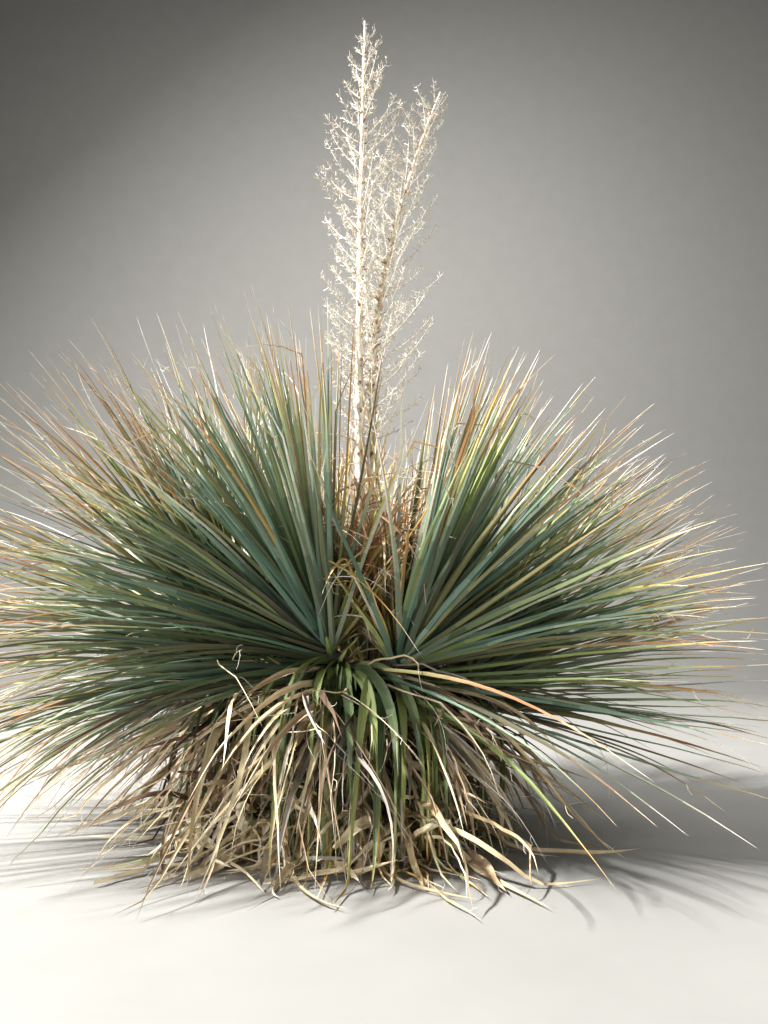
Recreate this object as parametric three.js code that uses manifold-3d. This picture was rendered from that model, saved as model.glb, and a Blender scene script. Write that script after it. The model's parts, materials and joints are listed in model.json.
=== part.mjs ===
// A nolina clump: one woody root crown that forks into seven short stems. Each stem carries a head of
// strap leaves in two tiers over a skirt of dead leaves. Two dry flower stalks stand on the middle stem.
// Millimetres, +Z up. The origin is the centre of the flat cut at ground level, and -Y is the front.
import * as THREE from "three";
import { mergeVertices } from "three/addons/utils/BufferGeometryUtils.js";
import Module from "manifold-3d";

const wasm = await Module();
wasm.setup();

// Driving dimensions
const PLANT_HEIGHT = 3500; // ground to the tip of the taller flower stalk
const LEAF_LENGTH = 1280; // the longest living leaves
const LEAF_WIDTH = 40; // broader than life, because each leaf here stands for about three
const LEAF_THICKNESS_SHARE = 0.0105; // of the leaf's own length
const LEAST_THICKNESS = 9;
const DEAD_LENGTH = 720;
const DEAD_WIDTH = 40;
const ROOT_CROWN_HEIGHT = 150;
const ROOT_CROWN_RADIUS = 240; // at the ground, where it flares
const ROOT_CROWN_Y = 35; // its middle, a little behind the origin
const FIT_GAP = 0.4; // between pieces that meet
const SPACE_GAP = 2; // between leaves and twigs of different pieces
const GROUND_CLEARANCE = 27; // lowest centre line of a broad leaf that lies on the ground
const TIP_CLEARANCE = 15;

// Each head: its place, how far it leans and towards where (degrees from +X), its leaf length as a share
// of LEAF_LENGTH, how much its leaves droop and how far its dead leaves spread (shares of LOW_BEND and of
// the SPREAD values), how many leaves are tried, and how many dead ones.
const ROSETTES = [
  head("middle", [15, 70, 600], { tilt: 0, towards: 90, reach: 0.8, droop: 0.6, spread: 0, leaves: 60, dead: 0 }),
  head("front_left", [-112, -230, 640], {
    tilt: 23, towards: 192, reach: 0.98, droop: 0.8, spread: 0.3, leaves: 170, dead: 38,
  }),
  head("front_right", [115, -190, 585], {
    tilt: 26, towards: 345, reach: 0.96, droop: 0.4, spread: 0, leaves: 162, dead: 36,
  }),
  head("left", [-430, 10, 590], {
    tilt: 24, towards: 180, reach: 1.08, droop: 0.9, spread: 1, leaves: 142, dead: 18,
  }),
  head("right", [370, 110, 500], {
    tilt: 28, towards: 3, reach: 0.95, droop: 0.35, spread: 0.1, leaves: 138, dead: 11,
  }),
  head("back_left", [-190, 400, 570], {
    tilt: 21, towards: 130, reach: 1, droop: 0.8, spread: 0.8, leaves: 112, dead: 9,
  }),
  head("back_right", [190, 420, 545], {
    tilt: 20, towards: 58, reach: 0.98, droop: 0.5, spread: 0.3, leaves: 112, dead: 9,
  }),
];

function head(name, place, habit) {
  return { name, head: place, ...habit };
}

// Rosette rule
const GOLDEN_ANGLE = 137.508;
const LEAST_POLAR = 5; // degrees from the head's own axis
const MOST_POLAR = 128;
const MIDDLE_POLAR = 30; // the middle head has upright leaves only, in a ring round the flower stalks
const MIDDLE_RING = 64;
const MIDDLE_ROOT = -22;
const TIER_POLAR = 56; // the upper tier ends here
const TIER_SPLIT = 4; // degrees kept free on each side of the split
const LEAST_ELEVATION = -9; // living leaves start no lower than this
const SLACK_ELEVATION = 40; // on the front side the leaves that start below this hang slack
const SLACK_HALF_ANGLE = 48; // how far the front side spreads to each side of -Y
const SLACK_ALIVE = 0.6; // this share of them is living, and the others have dropped
const SLACK_BEND = [84, 116]; // degrees
const SLACK_REACH = 0.85; // their length, as a share of a stiff leaf's
const SLACK_LIFT = 6; // degrees
const SLACK_KINK = [0.35, 0.75]; // the share of their length by which all of the bend is done
const UPRIGHT_BEND = 7; // degrees that a young leaf bends down by its tip
const LOW_BEND = 30;
const BEND_SPREAD = [0.1, 1.6]; // from leaf to leaf, as shares of those
const DRIFT = 22; // degrees that a leaf may turn sideways by its tip
const SPREAD_LENGTH = 1.35; // of the dead leaves, where they spread furthest
const SPREAD_BEND = 0.5;
const STRONG_BEND = 42; // a leaf that bends more has one more section
const LENGTH_TRIES = [1, 0.86, 0.7];
const PATH_STEPS = 20;
const ROOT_SHARE = 0.2; // this much of a leaf's first section grows out of its core
const DEAD_ROOT_DEPTH = 20; // inside the sleeve

// Head: a dome for the upper tier over a drum for the lower one, then a sleeve for the skirt
const DOME_RADIUS = 70;
const DRUM_RADIUS = 90;
const DRUM_DEPTH = 78;
const SLEEVE_DEPTH = 84;
const SLEEVE_RADIUS = 70;
const STEM_TOP_RADIUS = 46;
const STEM_FOOT_RADIUS = 52;
const STEM_FOOT_REACH = 145; // from the middle of the root crown
const UPPER_ROOT = 8; // height of the leaves' common centre over the tier split
const LOWER_ROOT = -48;
const ROOT_DEPTH = 42; // how far from that centre a leaf begins

// Flower stalks: foot is the place on the middle stem, seen from above
const STALKS = [
  { name: "a", foot: [-12, 70], top: PLANT_HEIGHT, radius: 22, tipRadius: 4 },
  { name: "b", foot: [42, 84], top: 3170, radius: 20, tipRadius: 4 },
];
const STALK_SIDES = 9;
const STALK_RINGS = 9;
const STALK_A_BOW = -18; // sideways, at half height
const STALK_B_BEND_FROM = 1750;
const STALK_B_REACH = 292; // how far its tip leans to +X
const STALK_B_POWER = 1.75;

// Panicle rule
const PANICLES = [
  { stalk: "a", from: 1560, masses: 12, length: 235, turn: 200, seed: 71 },
  { stalk: "b", from: 1640, masses: 10, length: 320, turn: 20, seed: 72 },
];
const FORK_SPREAD = 42; // degrees between the branches of one mass
const BRANCH_ELEVATION = 28;
const BRANCH_RISE = 38; // degrees that a branch turns up by its tip
const BRANCH_RADIUS = 5.6; // stouter than life, as each stands for several
const BRANCHLET_LENGTH = 52;
const BRANCHLET_RADIUS = 1.9;
const BRANCHLETS = 3; // on each branch
const FOOT_LENGTH = 15; // from the stalk's face to the fork
const HEADING_TRIES = 6;

const rad = THREE.MathUtils.degToRad;
const deg = THREE.MathUtils.radToDeg;
const lerp = THREE.MathUtils.lerp;
const vec = (x, y, z) => new THREE.Vector3(x, y, z);
const UP = vec(0, 0, 1);

// A repeatable random source
function seeded(seed) {
  let state = seed >>> 0;
  return () => {
    state = (state + 0x6d2b79f5) >>> 0;
    let t = state;
    t = Math.imul(t ^ (t >>> 15), t | 1);
    t ^= t + Math.imul(t ^ (t >>> 7), t | 61);
    return ((t ^ (t >>> 14)) >>> 0) / 4294967296;
  };
}

// Spreads 1, 2, 3 ... evenly over 0 to 1, whatever the count
function radicalInverse(n) {
  let value = 0;
  let place = 0.5;
  for (let rest = n; rest > 0; rest = Math.floor(rest / 2)) {
    value += (rest % 2) * place;
    place /= 2;
  }
  return value;
}

function heading(azimuth, elevation) {
  const flat = Math.cos(rad(elevation));
  return vec(flat * Math.cos(rad(azimuth)), flat * Math.sin(rad(azimuth)), Math.sin(rad(elevation)));
}

// Solids

function solidOf(positions, triangles) {
  const geometry = new THREE.BufferGeometry();
  geometry.setAttribute("position", new THREE.BufferAttribute(new Float32Array(positions), 3));
  geometry.setIndex(triangles);
  const merged = mergeVertices(geometry, 1e-4);
  return new wasm.Manifold(
    new wasm.Mesh({
      numProp: 3,
      vertProperties: merged.attributes.position.array,
      triVerts: new Uint32Array(merged.index.array),
    }),
  );
}

// A limb or leaf through rings of equal count, closed by flat ends, or by a point where tip is given
function loft(rings, tip = null) {
  const sides = rings[0].length;
  const positions = rings.flat().flatMap((p) => [p.x, p.y, p.z]);
  const triangles = [];
  for (let i = 0; i + 1 < rings.length; i++) {
    for (let j = 0; j < sides; j++) {
      const a = i * sides + j;
      const b = i * sides + ((j + 1) % sides);
      triangles.push(a, b, b + sides, a, b + sides, a + sides);
    }
  }
  for (let j = 1; j + 1 < sides; j++) triangles.push(0, j + 1, j);
  const last = (rings.length - 1) * sides;
  if (tip) {
    positions.push(tip.x, tip.y, tip.z);
    for (let j = 0; j < sides; j++) triangles.push(last + j, last + ((j + 1) % sides), last + sides);
  } else {
    for (let j = 1; j + 1 < sides; j++) triangles.push(last, last + j, last + j + 1);
  }
  return solidOf(positions, triangles);
}

// Two directions square to a normal
function basisOf(normal, near = vec(1, 0, 0)) {
  const e1 = near.clone().addScaledVector(normal, -near.dot(normal)).normalize();
  return [e1, normal.clone().cross(e1)];
}

function ring(centre, normal, radius, sides) {
  const [e1, e2] = basisOf(normal);
  return Array.from({ length: sides }, (_, j) => {
    const angle = (2 * Math.PI * j) / sides;
    return centre
      .clone()
      .addScaledVector(e1, radius * Math.cos(angle))
      .addScaledVector(e2, radius * Math.sin(angle));
  });
}

// A round solid along an axis from pairs of [distance along the axis, radius]
function turned(origin, axis, profile, sides) {
  const at = (along) => origin.clone().addScaledVector(axis, along);
  return loft(profile.map(([along, radius]) => ring(at(along), axis, radius, sides)));
}

// Clearance between pieces: every leaf, twig and limb is kept as a chain of round-ended rods

const taken = [];

function rodsOf(points, radii) {
  return points.slice(1).map((b, i) => ({ a: points[i], b, r: Math.max(radii[i], radii[i + 1]) }));
}

function rodDistance(p, q) {
  const d1 = p.b.clone().sub(p.a);
  const d2 = q.b.clone().sub(q.a);
  const r = p.a.clone().sub(q.a);
  const a = d1.dot(d1);
  const e = d2.dot(d2);
  const f = d2.dot(r);
  const c = d1.dot(r);
  const b = d1.dot(d2);
  const clamp = THREE.MathUtils.clamp;
  const det = a * e - b * b;
  let s = det > 1e-9 ? clamp((b * f - c * e) / det, 0, 1) : 0;
  let t = (b * s + f) / e;
  if (t < 0 || t > 1) {
    t = clamp(t, 0, 1);
    s = clamp((b * t - c) / a, 0, 1);
  }
  return p.a.clone().addScaledVector(d1, s).distanceTo(q.a.clone().addScaledVector(d2, t));
}

// Whether rods keep clear of every other piece. The first rod grows out of its own limbs, so it isn't
// held against those.
function isFree(rods, owner, ownLimbs = []) {
  return taken.every((other) => {
    if (other.owner === owner) return true;
    const tested = ownLimbs.includes(other.owner) ? rods.slice(1) : rods;
    return tested.every((rod) => rodDistance(rod, other.rod) > rod.r + other.rod.r + SPACE_GAP);
  });
}

function take(rods, owner) {
  rods.forEach((rod) => taken.push({ rod, owner }));
}

// Leaves

// The centre line of a leaf: it sets off at an elevation, bends down along its length, or all at once
// where it has a kink, and lies on the ground where it gets there
function leafPath(start, { azimuth, elevation, bend, drift, kink = 0 }, length) {
  const points = [start.clone()];
  for (let i = 1; i <= PATH_STEPS; i++) {
    const share = (i - 0.5) / PATH_STEPS;
    const bent = kink ? THREE.MathUtils.smoothstep(share, 0, kink) : share ** 1.5;
    const way = heading(azimuth + drift * share, elevation - bend * bent);
    const next = points[i - 1].clone().addScaledVector(way, length / PATH_STEPS);
    next.z = Math.max(next.z, lerp(GROUND_CLEARANCE, TIP_CLEARANCE, share));
    points.push(next);
  }
  return points;
}

// A strap leaf: a shallow keeled blade that narrows to a point, with more sections where it bends more
const BLADE_WIDTH = (share) => 1 - 0.62 * share ** 2.2;

function leafStations({ bend, kink = 0 }) {
  if (kink) return [0, 4, 8, 14];
  return bend > STRONG_BEND ? [0, 6, 11, 16] : [0, 9, 16];
}

function leafRods(path, width, leaf) {
  const steps = [...leafStations(leaf), PATH_STEPS];
  const half = (step) => (step < PATH_STEPS ? (BLADE_WIDTH(step / PATH_STEPS) * width) / 2 : 0);
  const points = steps.map((step) => path[step]);
  const halves = steps.map(half);
  points.splice(1, 0, points[0].clone().lerp(points[1], ROOT_SHARE));
  halves.splice(1, 0, halves[0]);
  return rodsOf(points, halves);
}

function leafSolid(path, facing, width, leaf) {
  const thickness = Math.max(LEAF_THICKNESS_SHARE * leaf.length, LEAST_THICKNESS);
  const rings = leafStations(leaf).map((step) => {
    const share = BLADE_WIDTH(step / PATH_STEPS);
    const along = path[step + 1].clone().sub(path[Math.max(step - 1, 0)]).normalize();
    const turn = rad(leaf.twist) * (step / PATH_STEPS);
    const side = along.clone().cross(facing).normalize().applyAxisAngle(along, turn);
    const over = side.clone().cross(along);
    const half = (share * width) / 2;
    const middle = path[step].clone().addScaledVector(over, (thickness * share) / 3);
    return [
      middle.clone().addScaledVector(side, -half),
      middle.clone().addScaledVector(side, half),
      middle.clone().addScaledVector(over, -thickness * share),
    ];
  });
  return loft(rings, path[PATH_STEPS]);
}

function isMiddle(rosette) {
  return rosette.name === "middle";
}

function axisOf(rosette) {
  return heading(rosette.towards, 90 - rosette.tilt);
}

// Distance from a point to the line that a head points along
function offAxis(rosette, point) {
  const head = vec(...rosette.head);
  const away = point.clone().sub(head);
  const along = Math.max(0, away.dot(axisOf(rosette)));
  return away.addScaledVector(axisOf(rosette), -along).length();
}

// A point belongs to the head whose line is nearest, and to none inside the root crown
function inOwnSpace(rosette, point) {
  const own = offAxis(rosette, point);
  const low = point.z < ROOT_CROWN_HEIGHT + 25;
  if (low && Math.hypot(point.x, point.y - ROOT_CROWN_Y) < ROOT_CROWN_RADIUS + 25) return false;
  return ROSETTES.every((other) => other === rosette || own <= offAxis(other, point));
}

// The k-th leaf of a head: an even spiral, from upright young leaves to low old ones
function leafOf(rosette, k) {
  const random = seeded(ROSETTES.indexOf(rosette) * 1000 + k + 1);
  const age = radicalInverse(k + 1);
  const most = isMiddle(rosette) ? MIDDLE_POLAR : MOST_POLAR;
  const spread = Math.acos(lerp(Math.cos(rad(LEAST_POLAR)), Math.cos(rad(most)), age));
  const polar = deg(spread) + 6 * (random() - 0.5);
  const turn = k * GOLDEN_ANGLE + 14 * (random() - 0.5);
  const axis = axisOf(rosette);
  const [e1, e2] = basisOf(axis);
  const way = axis
    .clone()
    .multiplyScalar(Math.cos(rad(polar)))
    .addScaledVector(e1, Math.sin(rad(polar)) * Math.cos(rad(turn)))
    .addScaledVector(e2, Math.sin(rad(polar)) * Math.sin(rad(turn)));
  const elevation = deg(Math.asin(way.z));
  const lowness = THREE.MathUtils.clamp((60 - elevation) / 70, 0, 1);
  const azimuth = deg(Math.atan2(way.y, way.x));
  const slack = isFront(azimuth) && elevation < SLACK_ELEVATION;
  const stiffBend = lerp(UPRIGHT_BEND, LOW_BEND * rosette.droop, lowness) * lerp(...BEND_SPREAD, random());
  return {
    polar,
    azimuth,
    elevation: elevation + (slack ? SLACK_LIFT : 0),
    length: LEAF_LENGTH * rosette.reach * lerp(0.84, 1, random()) * (slack ? SLACK_REACH : 1),
    bend: slack ? lerp(...SLACK_BEND, random()) : stiffBend,
    drift: DRIFT * (random() - 0.5),
    twist: 120 * (random() - 0.5),
    kink: slack ? lerp(...SLACK_KINK, random()) : 0,
    alive: elevation > LEAST_ELEVATION && (!slack || random() < SLACK_ALIVE),
  };
}

function isFront(azimuth) {
  return Math.abs(((azimuth + 90 + 540) % 360) - 180) < SLACK_HALF_ANGLE;
}

// The first of a few lengths at which a leaf keeps to its head's own space, or null
function fittingLeaf(rosette, owner, start, leaf, width) {
  const ownLimbs = [`stem_${rosette.name}`, ...(isMiddle(rosette) ? STALKS.map(stalkName) : [])];
  for (const share of LENGTH_TRIES) {
    const path = leafPath(start, leaf, leaf.length * share);
    const rods = leafRods(path, width, leaf);
    const inside = path.every((point, i) => i < 3 || inOwnSpace(rosette, point));
    if (inside && isFree(rods, owner, ownLimbs)) {
      take(rods, owner);
      return path;
    }
  }
  return null;
}

// Limbs

// The root crown: a squat woody base, flared at the ground and flat where the stems leave it
function rootCrown() {
  const profile = [
    [0, ROOT_CROWN_RADIUS],
    [ROOT_CROWN_HEIGHT * 0.25, ROOT_CROWN_RADIUS * 0.93],
    [ROOT_CROWN_HEIGHT * 0.65, ROOT_CROWN_RADIUS * 0.89],
    [ROOT_CROWN_HEIGHT, ROOT_CROWN_RADIUS * 0.84],
  ];
  return turned(vec(0, ROOT_CROWN_Y, 0), UP, profile, 18);
}

function stemParts(rosette) {
  const axis = axisOf(rosette);
  const head = vec(...rosette.head);
  const top = head.clone().addScaledVector(axis, -DRUM_DEPTH - FIT_GAP);
  const neck = head.clone().addScaledVector(axis, -DRUM_DEPTH - SLEEVE_DEPTH - 12);
  const crown = vec(0, ROOT_CROWN_Y, ROOT_CROWN_HEIGHT + FIT_GAP);
  const outward = vec(head.x, head.y - ROOT_CROWN_Y, 0);
  const foot = crown.add(outward.clone().setLength(Math.min(outward.length(), STEM_FOOT_REACH)));
  return { axis, head, top, neck, foot };
}

function stem(rosette, extra = 0) {
  const { axis, top, neck, foot } = stemParts(rosette);
  const middle = foot.clone().lerp(neck, 0.55);
  const lean = neck.clone().sub(foot).normalize().add(UP).normalize();
  const middleRadius = lerp(STEM_FOOT_RADIUS, STEM_TOP_RADIUS, 0.5);
  return loft([
    ring(foot, UP, STEM_FOOT_RADIUS, 12),
    ring(middle, lean, middleRadius + extra, 12),
    ring(neck, axis, STEM_TOP_RADIUS + extra, 12),
    ring(top.clone().addScaledVector(axis, extra), axis, STEM_TOP_RADIUS + extra, 12),
  ]);
}

// Centre of a flower stalk at a share of its height
function stalkCentre(stalk, share) {
  const base = stalkFoot(stalk);
  const z = lerp(base.z, stalk.top, share);
  if (stalk.name === "a") return vec(base.x + STALK_A_BOW * Math.sin(Math.PI * share), base.y, z);
  const over = Math.max(0, z - STALK_B_BEND_FROM) / (stalk.top - STALK_B_BEND_FROM);
  const sway = -16 * Math.sin(Math.PI * share);
  return vec(base.x + sway + STALK_B_REACH * over ** STALK_B_POWER, base.y + 30 * share, z);
}

function stalkName(stalk) {
  return `flower_stalk_${stalk.name}`;
}

function stalkFoot(stalk) {
  const middle = ROSETTES.find(isMiddle);
  return vec(...stalk.foot, middle.head[2] - DRUM_DEPTH);
}

function stalkRadius(stalk, share) {
  return lerp(stalk.radius, stalk.tipRadius, share ** 1.15);
}

function stalkSolid(stalk, extra = 0) {
  const rings = Array.from({ length: STALK_RINGS + 1 }, (_, i) => {
    const share = i / STALK_RINGS;
    const before = stalkCentre(stalk, Math.max(0, share - 0.02));
    const way = i === 0 ? UP : stalkCentre(stalk, Math.min(1, share + 0.02)).sub(before).normalize();
    return ring(stalkCentre(stalk, share), way, stalkRadius(stalk, share) + extra, STALK_SIDES);
  });
  return loft(rings);
}

function stalkRods(stalk) {
  const shares = Array.from({ length: STALK_RINGS + 1 }, (_, i) => i / STALK_RINGS);
  return rodsOf(
    shares.map((s) => stalkCentre(stalk, s)),
    shares.map((s) => stalkRadius(stalk, s)),
  );
}

// Panicles

// A three-sided twig along points, ending in a point
function twigSolid(points, radius) {
  const rings = points.slice(0, -1).map((p, i) => {
    const along = points[i + 1].clone().sub(points[Math.max(i - 1, 0)]).normalize();
    const taper = lerp(1, 0.75, i / Math.max(1, points.length - 2));
    return ring(p, along, radius * taper, 3);
  });
  return loft(rings, points.at(-1));
}

function twigPath(start, azimuth, elevation, length, rise, steps) {
  const points = [start.clone()];
  for (let i = 1; i <= steps; i++) {
    const way = heading(azimuth, elevation + (rise * (i - 0.5)) / steps);
    points.push(points[i - 1].clone().addScaledVector(way, length / steps));
  }
  return points;
}

// How long a branch is at a share of the panicle's height
function branchShare(height) {
  const low = lerp(0.62, 1, Math.min(1, height / 0.3));
  return low * lerp(1, 0.22, Math.max(0, (height - 0.45) / 0.55) ** 1.2);
}

// One branch and its branchlets, leaving out what isn't free: the solids, and the rods that they take up
function branchOf(owner, path, turn, length, random) {
  const free = path.slice(-3);
  const limb = rodsOf(free, [BRANCH_RADIUS, BRANCH_RADIUS, 1]);
  if (!isFree(limb, owner)) return { rods: [], parts: [] };
  const rods = [...limb];
  const parts = [twigSolid(path, BRANCH_RADIUS)];
  for (let i = 0; i < BRANCHLETS; i++) {
    const at = lerp(0.3, 0.82, i / (BRANCHLETS - 1)) * 2;
    const k = Math.floor(at);
    const start = free[k].clone().lerp(free[k + 1], at - k);
    const swing = (i % 2 ? 1 : -1) * lerp(45, 80, random());
    const size = Math.min(BRANCHLET_LENGTH, length * 0.34) * lerp(0.75, 1.2, random());
    const end = start.clone().addScaledVector(heading(turn + swing, lerp(15, 60, random())), size);
    const spur = rodsOf([start, end], [BRANCHLET_RADIUS, 0]);
    if (!isFree(spur, owner)) continue;
    rods.push(...spur);
    parts.push(twigSolid([start, end], BRANCHLET_RADIUS));
  }
  return { rods, parts };
}

// A middle branch that grows from the stalk itself, with a branch on each side that leaves it near there
function forkOf(owner, centre, footLength, azimuth, length, random) {
  const footEnd = centre.clone().addScaledVector(heading(azimuth, BRANCH_ELEVATION), footLength);
  const rise = () => BRANCH_ELEVATION + 8 * random();
  const main = [centre, ...twigPath(footEnd, azimuth, rise(), length, BRANCH_RISE, 2)];
  const fork = branchOf(owner, main, azimuth, length, random);
  if (!fork.parts.length) return fork;
  [-1, 1].forEach((side) => {
    const turn = azimuth + side * (FORK_SPREAD + 10 * random());
    const start = footEnd.clone().lerp(main[2], side > 0 ? 0.04 : 0.16);
    const path = twigPath(start, turn, rise(), length * 0.9, BRANCH_RISE, 2);
    const found = branchOf(owner, path, turn, length, random);
    fork.rods.push(...found.rods);
    fork.parts.push(...found.parts);
  });
  return fork;
}

// One mass of a panicle: of a few headings it takes the one with the most room
function panicleMass(panicle, stalk, m) {
  const owner = `panicle_${panicle.stalk}_${m + 1}`;
  const height = (m + 0.4) / panicle.masses;
  const base = stalkFoot(stalk).z;
  const z = lerp(panicle.from, stalk.top - 60, height);
  const share = (z - base) / (stalk.top - base);
  const centre = stalkCentre(stalk, share);
  const footLength = stalkRadius(stalk, share) + FOOT_LENGTH;
  let best = { parts: [] };
  for (let attempt = 0; attempt < HEADING_TRIES; attempt++) {
    const random = seeded(panicle.seed * 100 + m);
    const azimuth = panicle.turn + m * GOLDEN_ANGLE + attempt * (360 / HEADING_TRIES);
    const length = panicle.length * branchShare(height) * lerp(0.88, 1.1, random());
    const found = forkOf(owner, centre, footLength, azimuth, length, random);
    if (found.parts.length > best.parts.length * 1.15) best = found;
  }
  take(best.rods, owner);
  const mass = wasm.Manifold.union(best.parts).subtract(stalkSolid(stalk, FIT_GAP));
  return { name: owner, solid: largest(mass) };
}

// A cut can leave a scrap behind the limb: only the largest body is kept
function largest(solid) {
  return solid.decompose().reduce((best, s) => (s.volume() > best.volume() ? s : best));
}

// Heads

// The woody heart that a tier's leaves stand on
function headCore(rosette, tier) {
  const { axis, head } = stemParts(rosette);
  const drum = [
    [-DRUM_DEPTH, DRUM_RADIUS * 0.86],
    [-DRUM_DEPTH * 0.6, DRUM_RADIUS],
    [-DRUM_DEPTH * 0.15, DRUM_RADIUS * 0.97],
  ];
  const domeRadius = (s) => DOME_RADIUS * Math.sqrt(1 - (s * 0.97) ** 2);
  const dome = [0.35, 0.7, 0.95].map((s) => [DOME_RADIUS * s, domeRadius(s)]);
  const profiles = {
    upper: [[FIT_GAP, DOME_RADIUS], ...dome],
    lower: [...drum, [0, DRUM_RADIUS * 0.84]],
    whole: [...drum, ...dome],
  };
  return turned(head, axis, profiles[tier], 12);
}

// Where a leaf begins, inside its core
function leafRoot(rosette, tier, leaf) {
  const { axis, head } = stemParts(rosette);
  if (tier === "whole") {
    const level = head.clone().addScaledVector(axis, MIDDLE_ROOT);
    return level.addScaledVector(heading(leaf.azimuth, 0), MIDDLE_RING);
  }
  const centre = head.clone().addScaledVector(axis, tier === "lower" ? LOWER_ROOT : UPPER_ROOT);
  return centre.addScaledVector(heading(leaf.azimuth, leaf.elevation), ROOT_DEPTH);
}

// All the leaves of one tier that keep to the head's own space, fused on its core
function leafMass(rosette, tier) {
  const owner = tier === "whole" ? `leaves_${rosette.name}` : `${tier}_leaves_${rosette.name}`;
  const inTier = {
    upper: (leaf) => leaf.polar < TIER_POLAR - TIER_SPLIT,
    lower: (leaf) => leaf.polar > TIER_POLAR + TIER_SPLIT,
    whole: () => true,
  };
  const parts = [headCore(rosette, tier)];
  for (let k = 0; k < rosette.leaves; k++) {
    const leaf = leafOf(rosette, k);
    if (!inTier[tier](leaf) || !leaf.alive) continue;
    const path = fittingLeaf(rosette, owner, leafRoot(rosette, tier, leaf), leaf, LEAF_WIDTH);
    if (path) parts.push(leafSolid(path, axisOf(rosette), LEAF_WIDTH, leaf));
  }
  let mass = wasm.Manifold.union(parts);
  if (isMiddle(rosette)) {
    STALKS.forEach((stalk) => {
      mass = mass.subtract(stalkSolid(stalk, FIT_GAP));
    });
  }
  return { name: owner, solid: largest(mass) };
}

// Dead leaves that hang from a sleeve round the stem and spread over the ground
function skirt(rosette) {
  const owner = `dead_leaves_${rosette.name}`;
  const { axis, head } = stemParts(rosette);
  const from = -DRUM_DEPTH - FIT_GAP;
  const sleeve = turned(
    head,
    axis,
    [
      [from - SLEEVE_DEPTH, SLEEVE_RADIUS * 0.86],
      [from - SLEEVE_DEPTH * 0.5, SLEEVE_RADIUS],
      [from - FIT_GAP, SLEEVE_RADIUS * 0.94],
    ],
    12,
  );
  const centre = head.clone().addScaledVector(axis, from - SLEEVE_DEPTH * 0.5);
  const parts = [sleeve];
  for (let k = 0; k < rosette.dead; k++) {
    const random = seeded(ROSETTES.indexOf(rosette) * 1000 + 500 + k);
    const leaf = {
      azimuth: k * GOLDEN_ANGLE + 20 * random(),
      elevation: lerp(-34, 4, random()),
      length: DEAD_LENGTH * lerp(0.62, 1.1, random()) * lerp(1, SPREAD_LENGTH, rosette.spread),
      bend: lerp(46, 84, random()) * lerp(1, SPREAD_BEND, rosette.spread),
      drift: 30 * (random() - 0.5),
      twist: 90 * (random() - 0.5),
    };
    const [e1] = basisOf(axis, heading(leaf.azimuth, 0));
    const start = centre.clone().addScaledVector(e1, SLEEVE_RADIUS - DEAD_ROOT_DEPTH);
    const path = fittingLeaf(rosette, owner, start, leaf, DEAD_WIDTH);
    if (path) parts.push(leafSolid(path, UP, DEAD_WIDTH, leaf));
  }
  const mass = wasm.Manifold.union(parts).subtract(stem(rosette, FIT_GAP));
  return { name: owner, solid: largest(mass) };
}

// Materials

const paint = (color, roughness) => new THREE.MeshStandardMaterial({ color, roughness, metalness: 0 });
const MATERIALS = {
  bark: paint(0x6f5c47, 0.95),
  green: paint(0x6f8462, 0.6),
  straw: paint(0xb79f78, 0.85),
  stalk: paint(0xd9cbae, 0.8),
};

function meshOf(name, solid, material) {
  const { numProp, vertProperties, triVerts, numVert } = solid.getMesh();
  const positions = new Float32Array(numVert * 3);
  for (let i = 0; i < numVert; i++) {
    positions.set(vertProperties.subarray(i * numProp, i * numProp + 3), i * 3);
  }
  const geometry = new THREE.BufferGeometry();
  geometry.setAttribute("position", new THREE.BufferAttribute(positions, 3));
  geometry.setIndex(new THREE.BufferAttribute(triVerts, 1));
  geometry.computeVertexNormals();
  const mesh = new THREE.Mesh(geometry, material);
  mesh.name = name;
  return mesh;
}

// Assembly: limbs first, so that leaves and twigs grow clear of them

const plant = new THREE.Group();
const add = (name, solid, material) => plant.add(meshOf(name, solid, material));

add("root_crown", rootCrown(), MATERIALS.bark);

ROSETTES.forEach((rosette) => {
  const name = `stem_${rosette.name}`;
  const { foot, neck, top } = stemParts(rosette);
  take(rodsOf([foot, neck, top], [STEM_FOOT_RADIUS, STEM_TOP_RADIUS, STEM_TOP_RADIUS]), name);
  add(name, stem(rosette), MATERIALS.bark);
});

STALKS.forEach((stalk) => {
  take(stalkRods(stalk), stalkName(stalk));
  add(stalkName(stalk), stalkSolid(stalk), MATERIALS.stalk);
});

PANICLES.forEach((panicle) => {
  const stalk = STALKS.find((s) => s.name === panicle.stalk);
  for (let m = 0; m < panicle.masses; m++) {
    const mass = panicleMass(panicle, stalk, m);
    add(mass.name, mass.solid, MATERIALS.stalk);
  }
});

ROSETTES.forEach((rosette) => {
  (isMiddle(rosette) ? ["whole"] : ["upper", "lower"]).forEach((tier) => {
    const mass = leafMass(rosette, tier);
    add(mass.name, mass.solid, MATERIALS.green);
  });
});

ROSETTES.filter((rosette) => rosette.dead).forEach((rosette) => {
  const mass = skirt(rosette);
  add(mass.name, mass.solid, MATERIALS.straw);
});

export default plant;
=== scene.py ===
# Dresses the nolina clump: strap leaves, dead skirts, bark and the two dry flower stalks, grown again by
# the rules of the part's source at a finer scale. Metres, +Z up, -Y to the front.
import json
import math

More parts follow.
